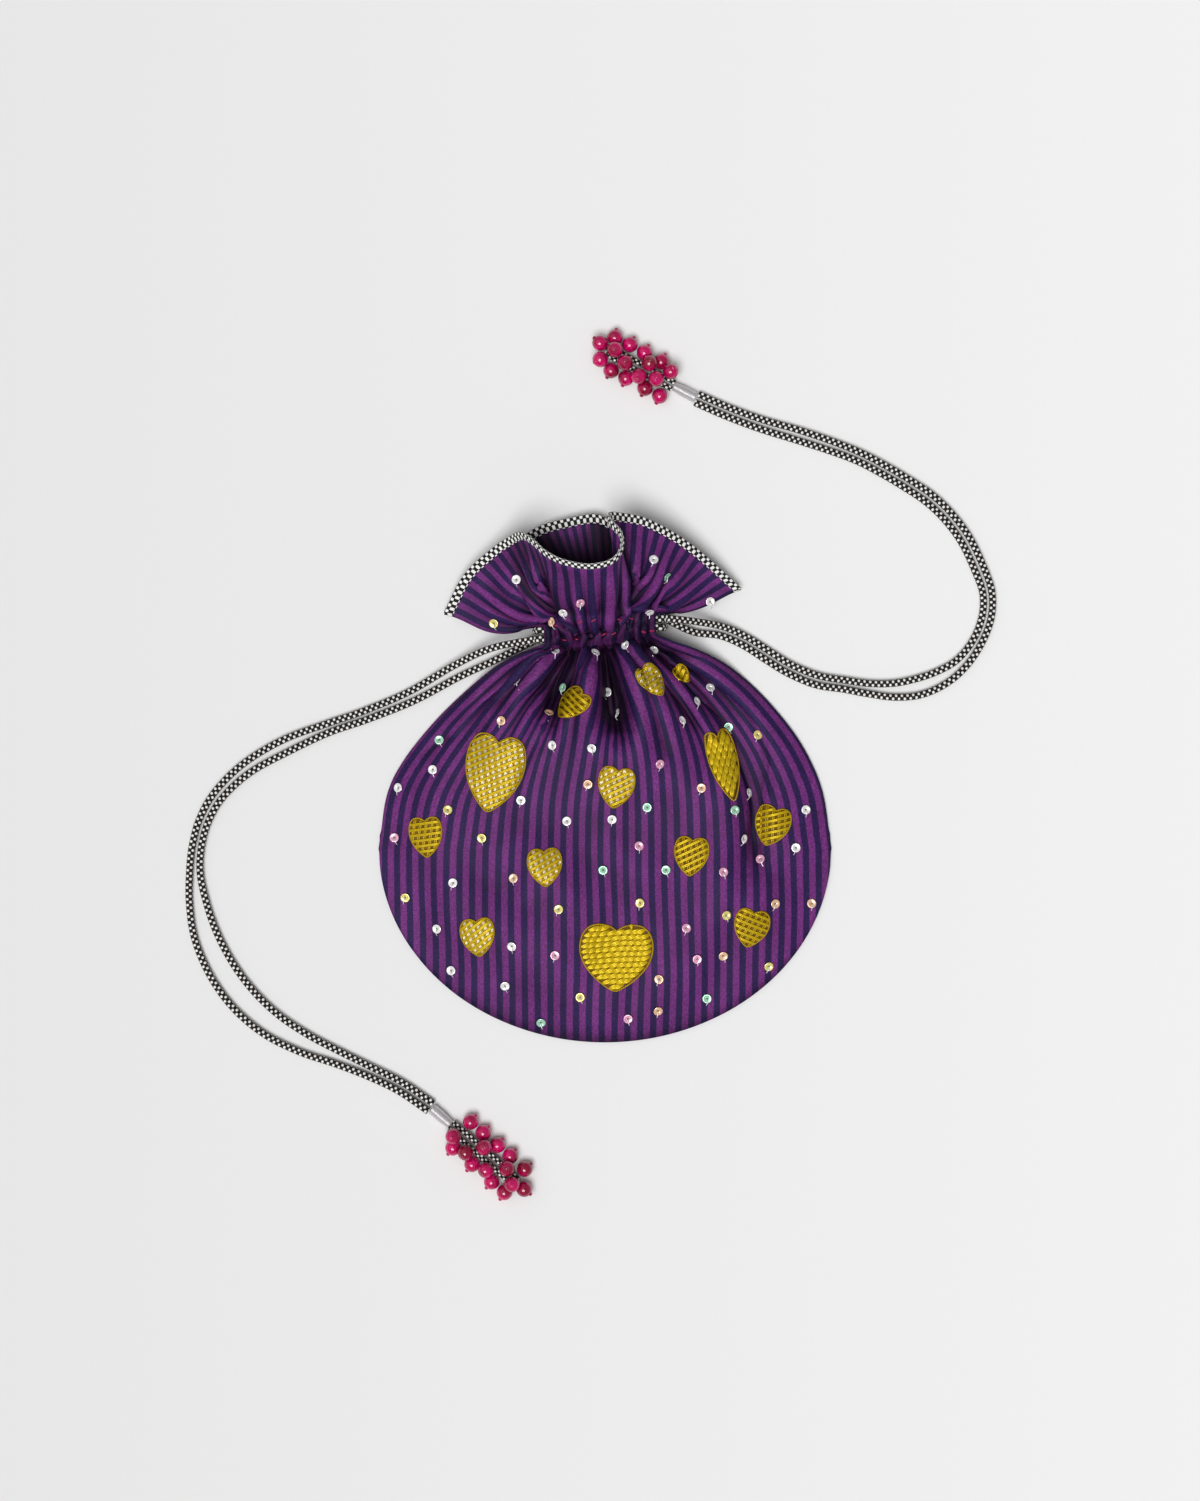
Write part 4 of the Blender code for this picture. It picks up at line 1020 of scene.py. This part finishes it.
def turned_bead(name, node):
    """A bead with its nub, turned by spin and set on the CAD bead's place."""
    low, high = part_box(node)
    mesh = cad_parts[node].data
    spots = np.empty(len(mesh.vertices) * 3)
    mesh.vertices.foreach_get("co", spots)
    spots = spots.reshape(-1, 3)
    centre = (np.array(low) + np.array(high)) / 2
    for _ in range(40):
        reach = np.linalg.norm(spots - centre, axis=1)
        round_part = spots[reach < BEAD_DIAMETER / 2 * MM * 1.04]
        centre += 0.5 * np.mean(round_part - centre - (round_part - centre)
                                / np.linalg.norm(round_part - centre, axis=1, keepdims=True)
                                * BEAD_DIAMETER / 2 * MM, axis=0)
    lean = spots[np.argmax(np.linalg.norm(spots - centre, axis=1))] - centre
    radius = BEAD_DIAMETER / 2
    profile = [(radius * math.sin(a), -radius * math.cos(a)) for a in np.linspace(0, 2.80, 18)]
    profile += [(1.05, radius * 0.97), (0.95, radius + 0.5), (0.5, radius + 0.85),
                (0.0, radius + 0.9)]
    bm = turned([(r * MM, h * MM) for r, h in profile], 20, 1e-6)
    turn = Vector((0, 0, 1)).rotation_difference(Vector(lean).normalized()).to_matrix().to_4x4()
    bmesh.ops.transform(bm, verts=bm.verts, matrix=Matrix.Translation(centre) @ turn)
    made = mesh_from(bm, name)
    made.shade_smooth()
    made.materials.append(BEAD_RESIN)
    return settle(place_mesh(name, made), "bead", node)


# %% Both drawstrings with their tassels
WRAP_DIAMETER = 5.4
WRAP_LENGTH = 12.0
LOOP_LENGTHS = {"left": 43.0, "right": 37.0}
LOOP_SPREAD = 3.9
BEADS_A_TASSEL = 16


def loop_line(root, ahead, across, length):
    up = np.array([0.0, 0.0, 1.0])
    wrap_z = WRAP_DIAMETER / 2 + 0.05
    loop_z = LOOP_DIAMETER / 2 + 2.6
    half = LOOP_SPREAD / 2
    reach = length - half
    loop = [root + across * half * 0.9 + up * wrap_z]
    loop += [root + across * half + ahead * d + up * loop_z for d in (6.0, reach * 0.5, reach)]
    loop += [root + ahead * length + up * loop_z]
    loop += [root - across * half + ahead * d + up * loop_z for d in (reach, reach * 0.5, 6.0)]
    loop += [root - across * half * 0.9 + up * wrap_z]
    return smooth_line(loop, step=0.6)


def drawstring(side_name, route, near_x, far_x, side, upper_side, turn):
    """Two strands, the run through the channel, the wrap, the loop and the beads."""
    bend_out = math.copysign(4.5, far_x)
    near_out = near_x - math.copysign(5.0, far_x)
    out_y = tunnel_y(near_out, side)
    top_out = (near_out, out_y, FRONT_CORD_Z - 0.4)
    low_out = (near_out, out_y, BACK_CORD_Z - 0.2)
    upper = strand_line(route, upper_side, top_out, (12.0, 4.6))
    lower = strand_line(route, -upper_side, low_out, (3.0,))
    inner = np.linspace(near_x, far_x, 4)
    middle_z = (FRONT_CORD_Z + BACK_CORD_Z) / 2
    half = (FRONT_CORD_Z - BACK_CORD_Z) / 2
    run = [top_out]
    run += [(x, tunnel_y(x, side), FRONT_CORD_Z) for x in inner]
    run += [(far_x + bend_out * math.sin(a), tunnel_y(far_x, side), middle_z + half * math.cos(a))
            for a in (0.25 * math.pi, 0.5 * math.pi, 0.75 * math.pi)]
    run += [(x, tunnel_y(x, side), BACK_CORD_Z) for x in inner[::-1]]
    run += [low_out]
    start = np.array([*route[-1][:2], 0.0])
    ahead = np.array([math.cos(turn), math.sin(turn), 0.0])
    across = np.array([-ahead[1], ahead[0], 0.0])
    base = start + ahead * (GAP + CORD_DIAMETER / 2 * 0.2)
    wrap = thread_wrap(side_name + "_thread_wrap", base, ahead, WRAP_LENGTH, WRAP_DIAMETER,
                       WRAP_DIAMETER / 2 + 0.05)
    settle(wrap, "silver_thread", side_name + "_wrap")
    loop = loop_line(base + ahead * (WRAP_LENGTH + 2 * GAP), ahead, across,
                     LOOP_LENGTHS[side_name])
    loop_cord = cord_piece(side_name + "_loop_cord", loop, LOOP_DIAMETER)
    settle(loop_cord, "woven_cord", side_name + "_bead_loop")
    beads = [turned_bead("%s_glass_%02d" % (side_name, k), "%s_bead_%02d" % (side_name, k))
             for k in range(1, BEADS_A_TASSEL + 1)]
    inside = cord_piece(side_name + "_cord_inside", smooth_line(run, step=0.7), CORD_DIAMETER)
    settle(inside, "woven_cord", side_name + "_drawstring")
    for label, line in (("upper", upper), ("lower", lower)):
        piece = cord_piece("%s_cord_%s" % (side_name, label), line, CORD_DIAMETER)
        settle(piece, "woven_cord", side_name + "_drawstring")
        length = distances(line)[-1] * MM
        print(side_name, label, "strand is", round(length, 3), "m long")


drawstring("left", LEFT_ROUTE, NECK_LEFT_X, NECK_RIGHT_X, -1, -1, math.radians(-41.0))
drawstring("right", RIGHT_ROUTE, NECK_RIGHT_X, NECK_LEFT_X, 1, 1, math.radians(152.0))

# %% [markdown]
# ## Cord channel inside
# Behind each panel a strip of plain cotton closes the tunnel that the cords run in. Gathered with
# the panel, it is pleated too, so a plain box would look wrong in the open mouth.

# %% Inner strips
def plain_cotton():
    made, tree, shader = new_material("plain_dyed_cotton")
    uv = add(tree, "UVMap", uv_map="cloth").outputs[0]
    tone = blend(tree, noise(tree, uv, 1500.0, 2.0), paint("3A2350"), paint("54305F"))
    plug(tree, shader, Base_Color=tone, Roughness=0.8, Specular_IOR_Level=0.3)
    return made


DYED_COTTON = plain_cotton()


def inner_strip(name, node, web_z, facing):
    """A pleated strip whose long edges turn up to the panel's stitch rows."""
    x = np.linspace(NECK_LEFT_X + 4.5, NECK_RIGHT_X - 4.5, 221)
    half = BAND_WIDTH / 2 + 0.4
    rows = np.array([(-half - 0.1, 4.3), (-half, 2.2), (-half + 0.5, 0.6), (-half + 1.6, 0.0),
                     (half - 1.6, 0.0), (half - 0.5, 0.6), (half, 2.2), (half + 0.1, 4.3)])
    pleat = 0.35 * np.sin(x * 2.6 + 0.7 * np.sin(x / 3.0))
    points = np.array([np.stack([x, tunnel_y(x, 0) + dy, web_z + facing * dz + pleat], axis=1)
                       for dy, dz in rows])
    places = np.array([np.stack([x, np.full_like(x, dy)], axis=1) for dy, dz in rows])
    piece = laid_grid(name, points, places, DYED_COTTON, CASING_THICKNESS, 0.0)
    return settle(piece, "casing_cotton", node)


inner_strip("front_tunnel_strip", "front_casing", FRONT_WEB_Z, 1)
inner_strip("back_tunnel_strip", "back_casing", BACK_WEB_Z, -1)

# %% [markdown]
# ## Thread work
# Hearts, sequin threads and running stitches are all thread. Many short threads make one curve
# object with many splines, whose bevel gives each its round section. It becomes a mesh once laid.

# %% Thread helpers
def threads(name, paths, radius, material, sides=1, taper=None):
    """One mesh of round threads along lists of points in millimetres, tapered where asked."""
    curve = bpy.data.curves.new(name, "CURVE")
    curve.dimensions = "3D"
    curve.bevel_depth = radius * MM
    curve.bevel_resolution = sides
    curve.use_fill_caps = True
    for path in paths:
        spline = curve.splines.new("POLY")
        spline.points.add(len(path) - 1)
        for number, (spot, point) in enumerate(zip(spline.points, path)):
            spot.co = (*(Vector(point) * MM), 1)
            spot.radius = taper[number] if taper else 1.0
    guide = place_mesh(name + "_guide", curve)
    bpy.context.view_layer.update()
    finished = guide.evaluated_get(bpy.context.evaluated_depsgraph_get())
    mesh = bpy.data.meshes.new_from_object(finished)
    bpy.data.objects.remove(guide)
    mesh.materials.clear()
    mesh.materials.append(material)
    mesh.shade_smooth()
    return place_mesh(name, mesh)


def joined(name, pieces):
    """Several meshes as one, each keeping its material."""
    bm = bmesh.new()
    mesh = bpy.data.meshes.new(name)
    for number, piece in enumerate(pieces):
        mesh.materials.append(piece.data.materials[0])
        before = len(bm.faces)
        bm.from_mesh(piece.data)
        bm.faces.ensure_lookup_table()
        for face in bm.faces[before:]:
            face.material_index = number
        bpy.data.objects.remove(piece)
    bm.to_mesh(mesh)
    bm.free()
    mesh.shade_smooth()
    return place_mesh(name, mesh)


# %% Thread materials
def metallic_thread(name, deep, bright, metal, rough):
    """Foil wound round a core: a metal tone broken by the twist."""
    made, tree, shader = new_material(name)
    twist = noise(tree, add(tree, "TexCoord").outputs["Object"], 1300.0, 2.0)
    tone = blend(tree, twist, paint(deep), paint(bright))
    bump = add(tree, "Bump", {"Strength": 0.5, "Distance": 0.0001, "Height": twist})
    plug(tree, shader, Base_Color=tone, Metallic=metal, Roughness=rough, Normal=bump.outputs[0])
    return made


GOLD_THREAD = metallic_thread("gold_lurex_thread", "B69600", "EACE0C", 0.45, 0.36)
GOLD_UNDER = metallic_thread("gold_thread_under", "987A02", "CCA808", 0.5, 0.42)
GOLD_BED = metallic_thread("gold_thread_bed", "5E4600", "967404", 0.5, 0.5)
SILVER_BED = metallic_thread("silver_thread_bed", "C4B684", "FFF8E0", 0.4, 0.3)
SILVER_GLINT = metallic_thread("silver_lurex_thread", "C9C6BE", "FFFFFF", 0.4, 0.25)
RED_THREAD = metallic_thread("crimson_cotton_thread", "8E0F3A", "C81A4E", 0.0, 0.6)

# %% [markdown]
# ## Gold hearts
# Each heart has a bed of fine thread laid side by side. Most carry two sets of double gold bars,
# one laid across the other, and three carry rows of plump slanting stitches. A twisted outline of
# two plies goes round. The threads are laid from above onto the folded cloth, so a heart on the
# side of a fold leans with it.

# %% Heart places: middle, width, height and turn in degrees, seen from above
HEARTS = [(-16.0, 36.8, 12.5, 17.0, -46.0), (23.0, 48.5, 11.0, 17.0, 36.0),
          (38.5, 52.0, 7.0, 9.5, 44.0), (-55.5, 2.5, 29.5, 38.0, -10.0),
          (5.5, -4.5, 18.0, 20.0, -8.0),
          (59.5, 6.5, 14.5, 35.5, 15.0), (83.5, -24.0, 17.5, 19.5, -16.0),
          (-89.5, -29.5, 16.5, 19.5, 4.0), (-30.0, -44.5, 17.0, 18.5, 4.0),
          (43.0, -39.0, 17.0, 19.0, -6.0), (-63.5, -79.5, 17.0, 18.5, 6.0),
          (5.5, -89.5, 37.0, 33.0, -2.0), (73.0, -75.0, 17.5, 18.5, -12.0)]
# Stitch of each heart: what is laid over what, and the slant of its bars in degrees
HEART_STITCHES = [("gold", -46.0), ("silver", 34.0), ("rope", 48.0), ("silver", 22.0),
                  ("silver", 26.0), ("rope", 76.0), ("gold", 14.0), ("gold", 8.0),
                  ("silver", 30.0), ("gold", 26.0), ("silver", 38.0), ("rope", 3.0),
                  ("gold", -22.0)]
BAR_PITCH = 2.75
BAR_RADIUS = 0.40
BED_PITCH = 0.66
BRICK_PITCH = 2.7
BRICK_STEP = 3.7
BRICK_HALF = 2.75
BRICK_LEAN = 0.95
BRICK_SPREAD = 0.72
BRICK_RADIUS = 0.56
BRICK_TAPER = (0.45, 0.85, 1.0, 0.85, 0.45)
SHORTEST_THREAD = 1.0

# Right half of a heart one unit wide and one unit high, from its notch down to its tip
HEART_HALF = [(0.0, 0.40), (0.09, 0.465), (0.22, 0.50), (0.355, 0.475), (0.455, 0.37),
              (0.50, 0.20), (0.485, 0.02), (0.41, -0.16), (0.285, -0.32), (0.13, -0.455),
              (0.0, -0.52)]


def heart_outline(count):
    """Even points of a plump heart one unit wide and one unit high, from its notch round."""
    half = np.array(HEART_HALF)
    whole = np.vstack([half, half[-2::-1] * (-1, 1)])
    line = smooth_line(whole, count + 1)[:-1]
    return line[:, 0], line[:, 1]


def crossings(outline, direction, distance):
    """Where a straight line enters and leaves the outline, as places along the line."""
    normal = np.array([-direction[1], direction[0]])
    offset = outline @ normal - distance
    spots = []
    for k in range(len(outline)):
        a, b = offset[k], offset[(k + 1) % len(outline)]
        if (a > 0) != (b > 0):
            point = outline[k] + (outline[(k + 1) % len(outline)] - outline[k]) * a / (a - b)
            spots.append(point @ direction)
    spots.sort()
    return list(zip(spots[::2], spots[1::2]))


def rows_across(outline, slant, pitch, shift=0.0):
    """Parallel rows over the outline: direction, normal, row number, distance, start and stop."""
    direction = np.array([math.cos(slant), math.sin(slant)])
    normal = np.array([-direction[1], direction[0]])
    reach = outline @ normal
    count = int((reach.max() - reach.min()) / pitch)
    first = (reach.max() + reach.min()) / 2 - (count - 1) / 2 * pitch + shift
    for k in range(count):
        distance = first + k * pitch
        for start, stop in crossings(outline, direction, distance):
            yield direction, normal, k, distance, start, stop


def laid_threads(outline, slant, pitch, rise, to_cloth, shift=0.0, step=0.7):
    """Parallel threads across the heart that follow the cloth and tuck in at their ends."""
    paths = []
    for direction, normal, _, distance, start, stop in rows_across(outline, slant, pitch, shift):
        if stop - start < SHORTEST_THREAD:
            continue
        places = np.linspace(start, stop, max(4, int((stop - start) / step)))
        tuck = -0.5 * (np.abs(2 * (places - start) / (stop - start) - 1) ** 10)
        paths.append([to_cloth(normal * distance + direction * p, rise + t)
                      for p, t in zip(places, tuck)])
    return paths


def brick_stitches(outline, slant, to_cloth):
    """Rows of short plump stitches, three threads each, that lean across their row."""
    paths = []
    for direction, normal, k, distance, start, stop in rows_across(outline, slant, BRICK_PITCH):
        bricks = max(1, round((stop - start) / BRICK_STEP))
        half = min(BRICK_HALF, (stop - start) / 2)
        for spot in start + (np.arange(bricks) + 0.5) / bricks * (stop - start):
            middle = min(max(spot + 0.35 * math.sin(2.1 * k), start + half), stop - half)
            for across in (-BRICK_SPREAD, 0.0, BRICK_SPREAD):
                paths.append([to_cloth(direction * (middle + t * half - 0.3 * across)
                                       + normal * (distance + t * BRICK_LEAN
                                                   + across * (1 - 0.6 * abs(t))),
                                       0.78 - 0.45 * t * t - 0.16 * abs(across))
                              for t in (-1, -0.55, 0, 0.55, 1)])
    return paths


def twisted(path, swing, pitch):
    """Two plies that wind round a path."""
    line = np.array(path, float)
    line = smooth_line(line, max(8, int(distances(line)[-1] / 0.5)))
    side, up = ways(line)
    along = distances(line)
    plies = []
    for turn in (0.0, math.pi):
        a = (turn + 2 * math.pi * along / pitch)[:, None]
        plies.append((line + (side * np.cos(a) + up * np.sin(a)) * swing).tolist())
    return plies


def stitched_heart(number, place):
    x0, y0, width, height, turn = place
    lean = math.radians(turn)
    px, py = heart_outline(72)
    outline = np.stack([px * width, py * height], axis=1)

    def to_cloth(spot, rise):
        x = x0 + spot[0] * math.cos(lean) - spot[1] * math.sin(lean)
        y = y0 + spot[0] * math.sin(lean) + spot[1] * math.cos(lean)
        top, normal = top_at(x, y)
        return tuple(Vector((x, y, top)) + normal * rise)

    stitch, degrees = HEART_STITCHES[number]
    slant = math.radians(degrees - turn)
    inner = outline * 0.95
    ring = [to_cloth(p, 0.55) for p in np.vstack([outline, outline[:1]]) * 0.985]
    parts = [threads("rim", twisted(ring, 0.27, 2.3), 0.29, GOLD_UNDER)]
    crossing = slant + math.radians(74.0)
    bed = laid_threads(inner, crossing, BED_PITCH, 0.30, to_cloth, step=1.0)
    parts.append(threads("bed", bed, 0.36, SILVER_BED if stitch == "silver" else GOLD_BED))
    if stitch == "rope":
        parts.append(threads("bricks", brick_stitches(inner, slant, to_cloth), BRICK_RADIUS,
                             GOLD_THREAD, taper=BRICK_TAPER))
    else:
        for shift in (-0.38, 0.38):
            under = laid_threads(inner, crossing, BAR_PITCH * 1.06, 0.66, to_cloth, shift)
            over = laid_threads(inner, slant, BAR_PITCH, 1.28, to_cloth, shift * 0.8)
            parts.append(threads("under", under, BAR_RADIUS, GOLD_UNDER))
            parts.append(threads("over", over, BAR_RADIUS, GOLD_THREAD))
    heart = joined("stitched_heart_%02d" % (number + 1), parts)
    return settle(heart, "gold_thread", "heart_%02d" % (number + 1))


hearts = [stitched_heart(number, place) for number, place in enumerate(HEARTS)]
print("hearts", sum(len(h.data.polygons) for h in hearts), "faces")

# %% [markdown]
# ## Sequins
# Cup sequins are stamped from iridescent film with a hole in the middle. Each is held by a single
# silver stitch that runs from the hole over the lower edge, so it hangs a little loose and tips.

# %% Sequin places
# Pixels of the photograph (1200 by 1501), with a tint: w white, y yellow, p pink, g green, o orange
SEQUINS = [(555, 652, "w"), (595, 654, "w"), (626, 646, "w"), (519, 683, "w"), (564, 688, "g"),
           (502, 721, "o"), (549, 714, "o"), (553, 745, "w"), (439, 740, "g"), (433, 770, "w"),
           (398, 788, "w"), (448, 810, "y"), (521, 800, "w"), (482, 838, "y"), (394, 838, "p"),
           (567, 821, "w"), (612, 819, "w"), (588, 784, "o"), (647, 807, "g"), (639, 846, "p"),
           (603, 870, "g"), (666, 870, "g"), (514, 878, "o"), (453, 883, "w"), (405, 898, "y"),
           (437, 929, "w"), (451, 971, "w"), (505, 986, "w"), (512, 946, "w"), (555, 955, "p"),
           (559, 909, "y"), (640, 903, "y"), (541, 1023, "g"), (580, 997, "y"), (628, 1019, "p"),
           (658, 1011, "o"), (659, 979, "o"), (686, 928, "p"), (697, 959, "p"), (723, 956, "o"),
           (726, 915, "y"), (707, 999, "g"), (769, 967, "y"), (775, 904, "o"), (812, 904, "o"),
           (723, 872, "p"), (761, 860, "p"), (806, 810, "w"), (758, 735, "y"), (701, 788, "o"),
           (659, 764, "p"), (681, 721, "w"), (710, 688, "w"), (696, 702, "w"), (654, 649, "w"),
           (608, 692, "w"), (619, 713, "w"), (592, 748, "w"), (729, 727, "g"), (734, 810, "g"),
           (748, 793, "w"), (743, 839, "w"), (796, 848, "w"), (517, 580, "w"), (494, 623, "y"),
           (553, 623, "o"), (580, 604, "p"), (653, 561, "w"), (666, 577, "g"), (649, 612, "w"),
           (710, 601, "w"), (564, 613, "w")]
PIXEL = 0.5
PIXEL_ORIGIN = (605.0, 778.0)
SEQUIN_RADIUS = 2.3
SEQUIN_LIFT = 0.75
STITCH_REACH = 3.6
TINTS = {"w": "FDFBFA", "y": "F2E48A", "p": "F3B4CF", "g": "AEE3C4", "o": "F4C9A4"}


def sequin_film():
    made, tree, shader = new_material("iridescent_sequin_film")
    tint = add(tree, "Attribute", attribute_name="tint")
    plug(tree, shader, Base_Color=tint.outputs["Color"], Metallic=0.35, Roughness=0.22,
         Coat_Weight=0.6, Coat_Roughness=0.08)
    return made


def sequin_template():
    """A shallow cup with a hole: a ring of faces, pressed in and given its film's thickness."""
    bm = turned([(0.48, 0.0), (1.15, 0.10), (1.75, 0.34), (SEQUIN_RADIUS, 0.42)], 18, 1e-4)
    bmesh.ops.solidify(bm, geom=bm.faces[:], thickness=0.14)
    return mesh_from(bm, "sequin_template")


# %% Sewing the sequins on
template = sequin_template()
bm = bmesh.new()
colour = bm.verts.layers.float_color.new("tint")
sequin_threads = []
for number, (pixel_x, pixel_y, tint) in enumerate(SEQUINS):
    x = (pixel_x - PIXEL_ORIGIN[0]) * PIXEL
    y = (PIXEL_ORIGIN[1] - pixel_y) * PIXEL
    top, normal = top_at(x, y)
    tip = 0.16 * math.sin(number * 2.4), 0.16 * math.cos(number * 1.7)
    facing = (normal + Vector((tip[0], tip[1], 0))).normalized()
    turn = Vector((0, 0, 1)).rotation_difference(facing).to_matrix().to_4x4()
    centre = Vector((x, y, top)) + normal * SEQUIN_LIFT
    before = len(bm.verts)
    bm.from_mesh(template)
    bm.verts.ensure_lookup_table()
    fresh = bm.verts[before:]
    place = Matrix.Scale(MM, 4) @ Matrix.Translation(centre) @ turn
    bmesh.ops.transform(bm, verts=fresh, matrix=place)
    for vert in fresh:
        vert[colour] = paint(TINTS[tint])
    down = Vector((0.35 * math.sin(number), -1.0, 0)).normalized()
    end_x, end_y = x + down.x * STITCH_REACH, y + down.y * STITCH_REACH
    low, low_normal = top_at(end_x, end_y, top)
    end = Vector((end_x, end_y, low)) + low_normal * 0.1
    sequin_threads.append([tuple(centre - normal * 0.3), tuple(centre + normal * 0.55 + down * 0.5),
                           tuple(centre + normal * 0.75 + down * 2.0),
                           tuple(centre + normal * 0.25 + down * 2.9), tuple(end)])
film = mesh_from(bm, "sequins")
film.shade_smooth()
film.materials.append(sequin_film())
settle(place_mesh("sequins", film), "silver_thread")
settle(threads("sequin_threads", sequin_threads, 0.24, SILVER_GLINT), "silver_thread")

# %% [markdown]
# ## Running stitches
# Two rows of crimson running stitch hold the cord channel. Pulled into the gathers, only some of
# the stitches still show on the ridges.

# %% Stitches
ROW_SHARES = (0.06, 0.94)
STITCHES_A_ROW = 20
STITCH_LENGTH = 1.9
SHOWN_ABOVE = 0.4
stitches = []
for share in ROW_SHARES:
    for k in range(STITCHES_A_ROW):
        if math.sin(k * 2.7 + 5.0 * share) < SHOWN_ABOVE:
            continue
        across = (k + 0.35 + 0.3 * math.sin(k * 1.9)) / STITCHES_A_ROW
        start_x = NECK_LEFT_X + (NECK_RIGHT_X - NECK_LEFT_X) * across
        path = []
        slope = 0.5 * math.sin(k * 3.3)
        for step in np.linspace(0, STITCH_LENGTH, 5):
            x = start_x + step
            y = tunnel_y(x, 0) - BAND_WIDTH / 2 + BAND_WIDTH * share + slope * step
            top, normal = top_at(x, y)
            path.append(tuple(Vector((x, y, top)) + normal * 0.18))
        stitches.append(path)
# The record has no slot for red thread, so the stitches ride in the slot for thread trim
settle(threads("running_stitches", stitches, 0.3, RED_THREAD), "silver_thread")
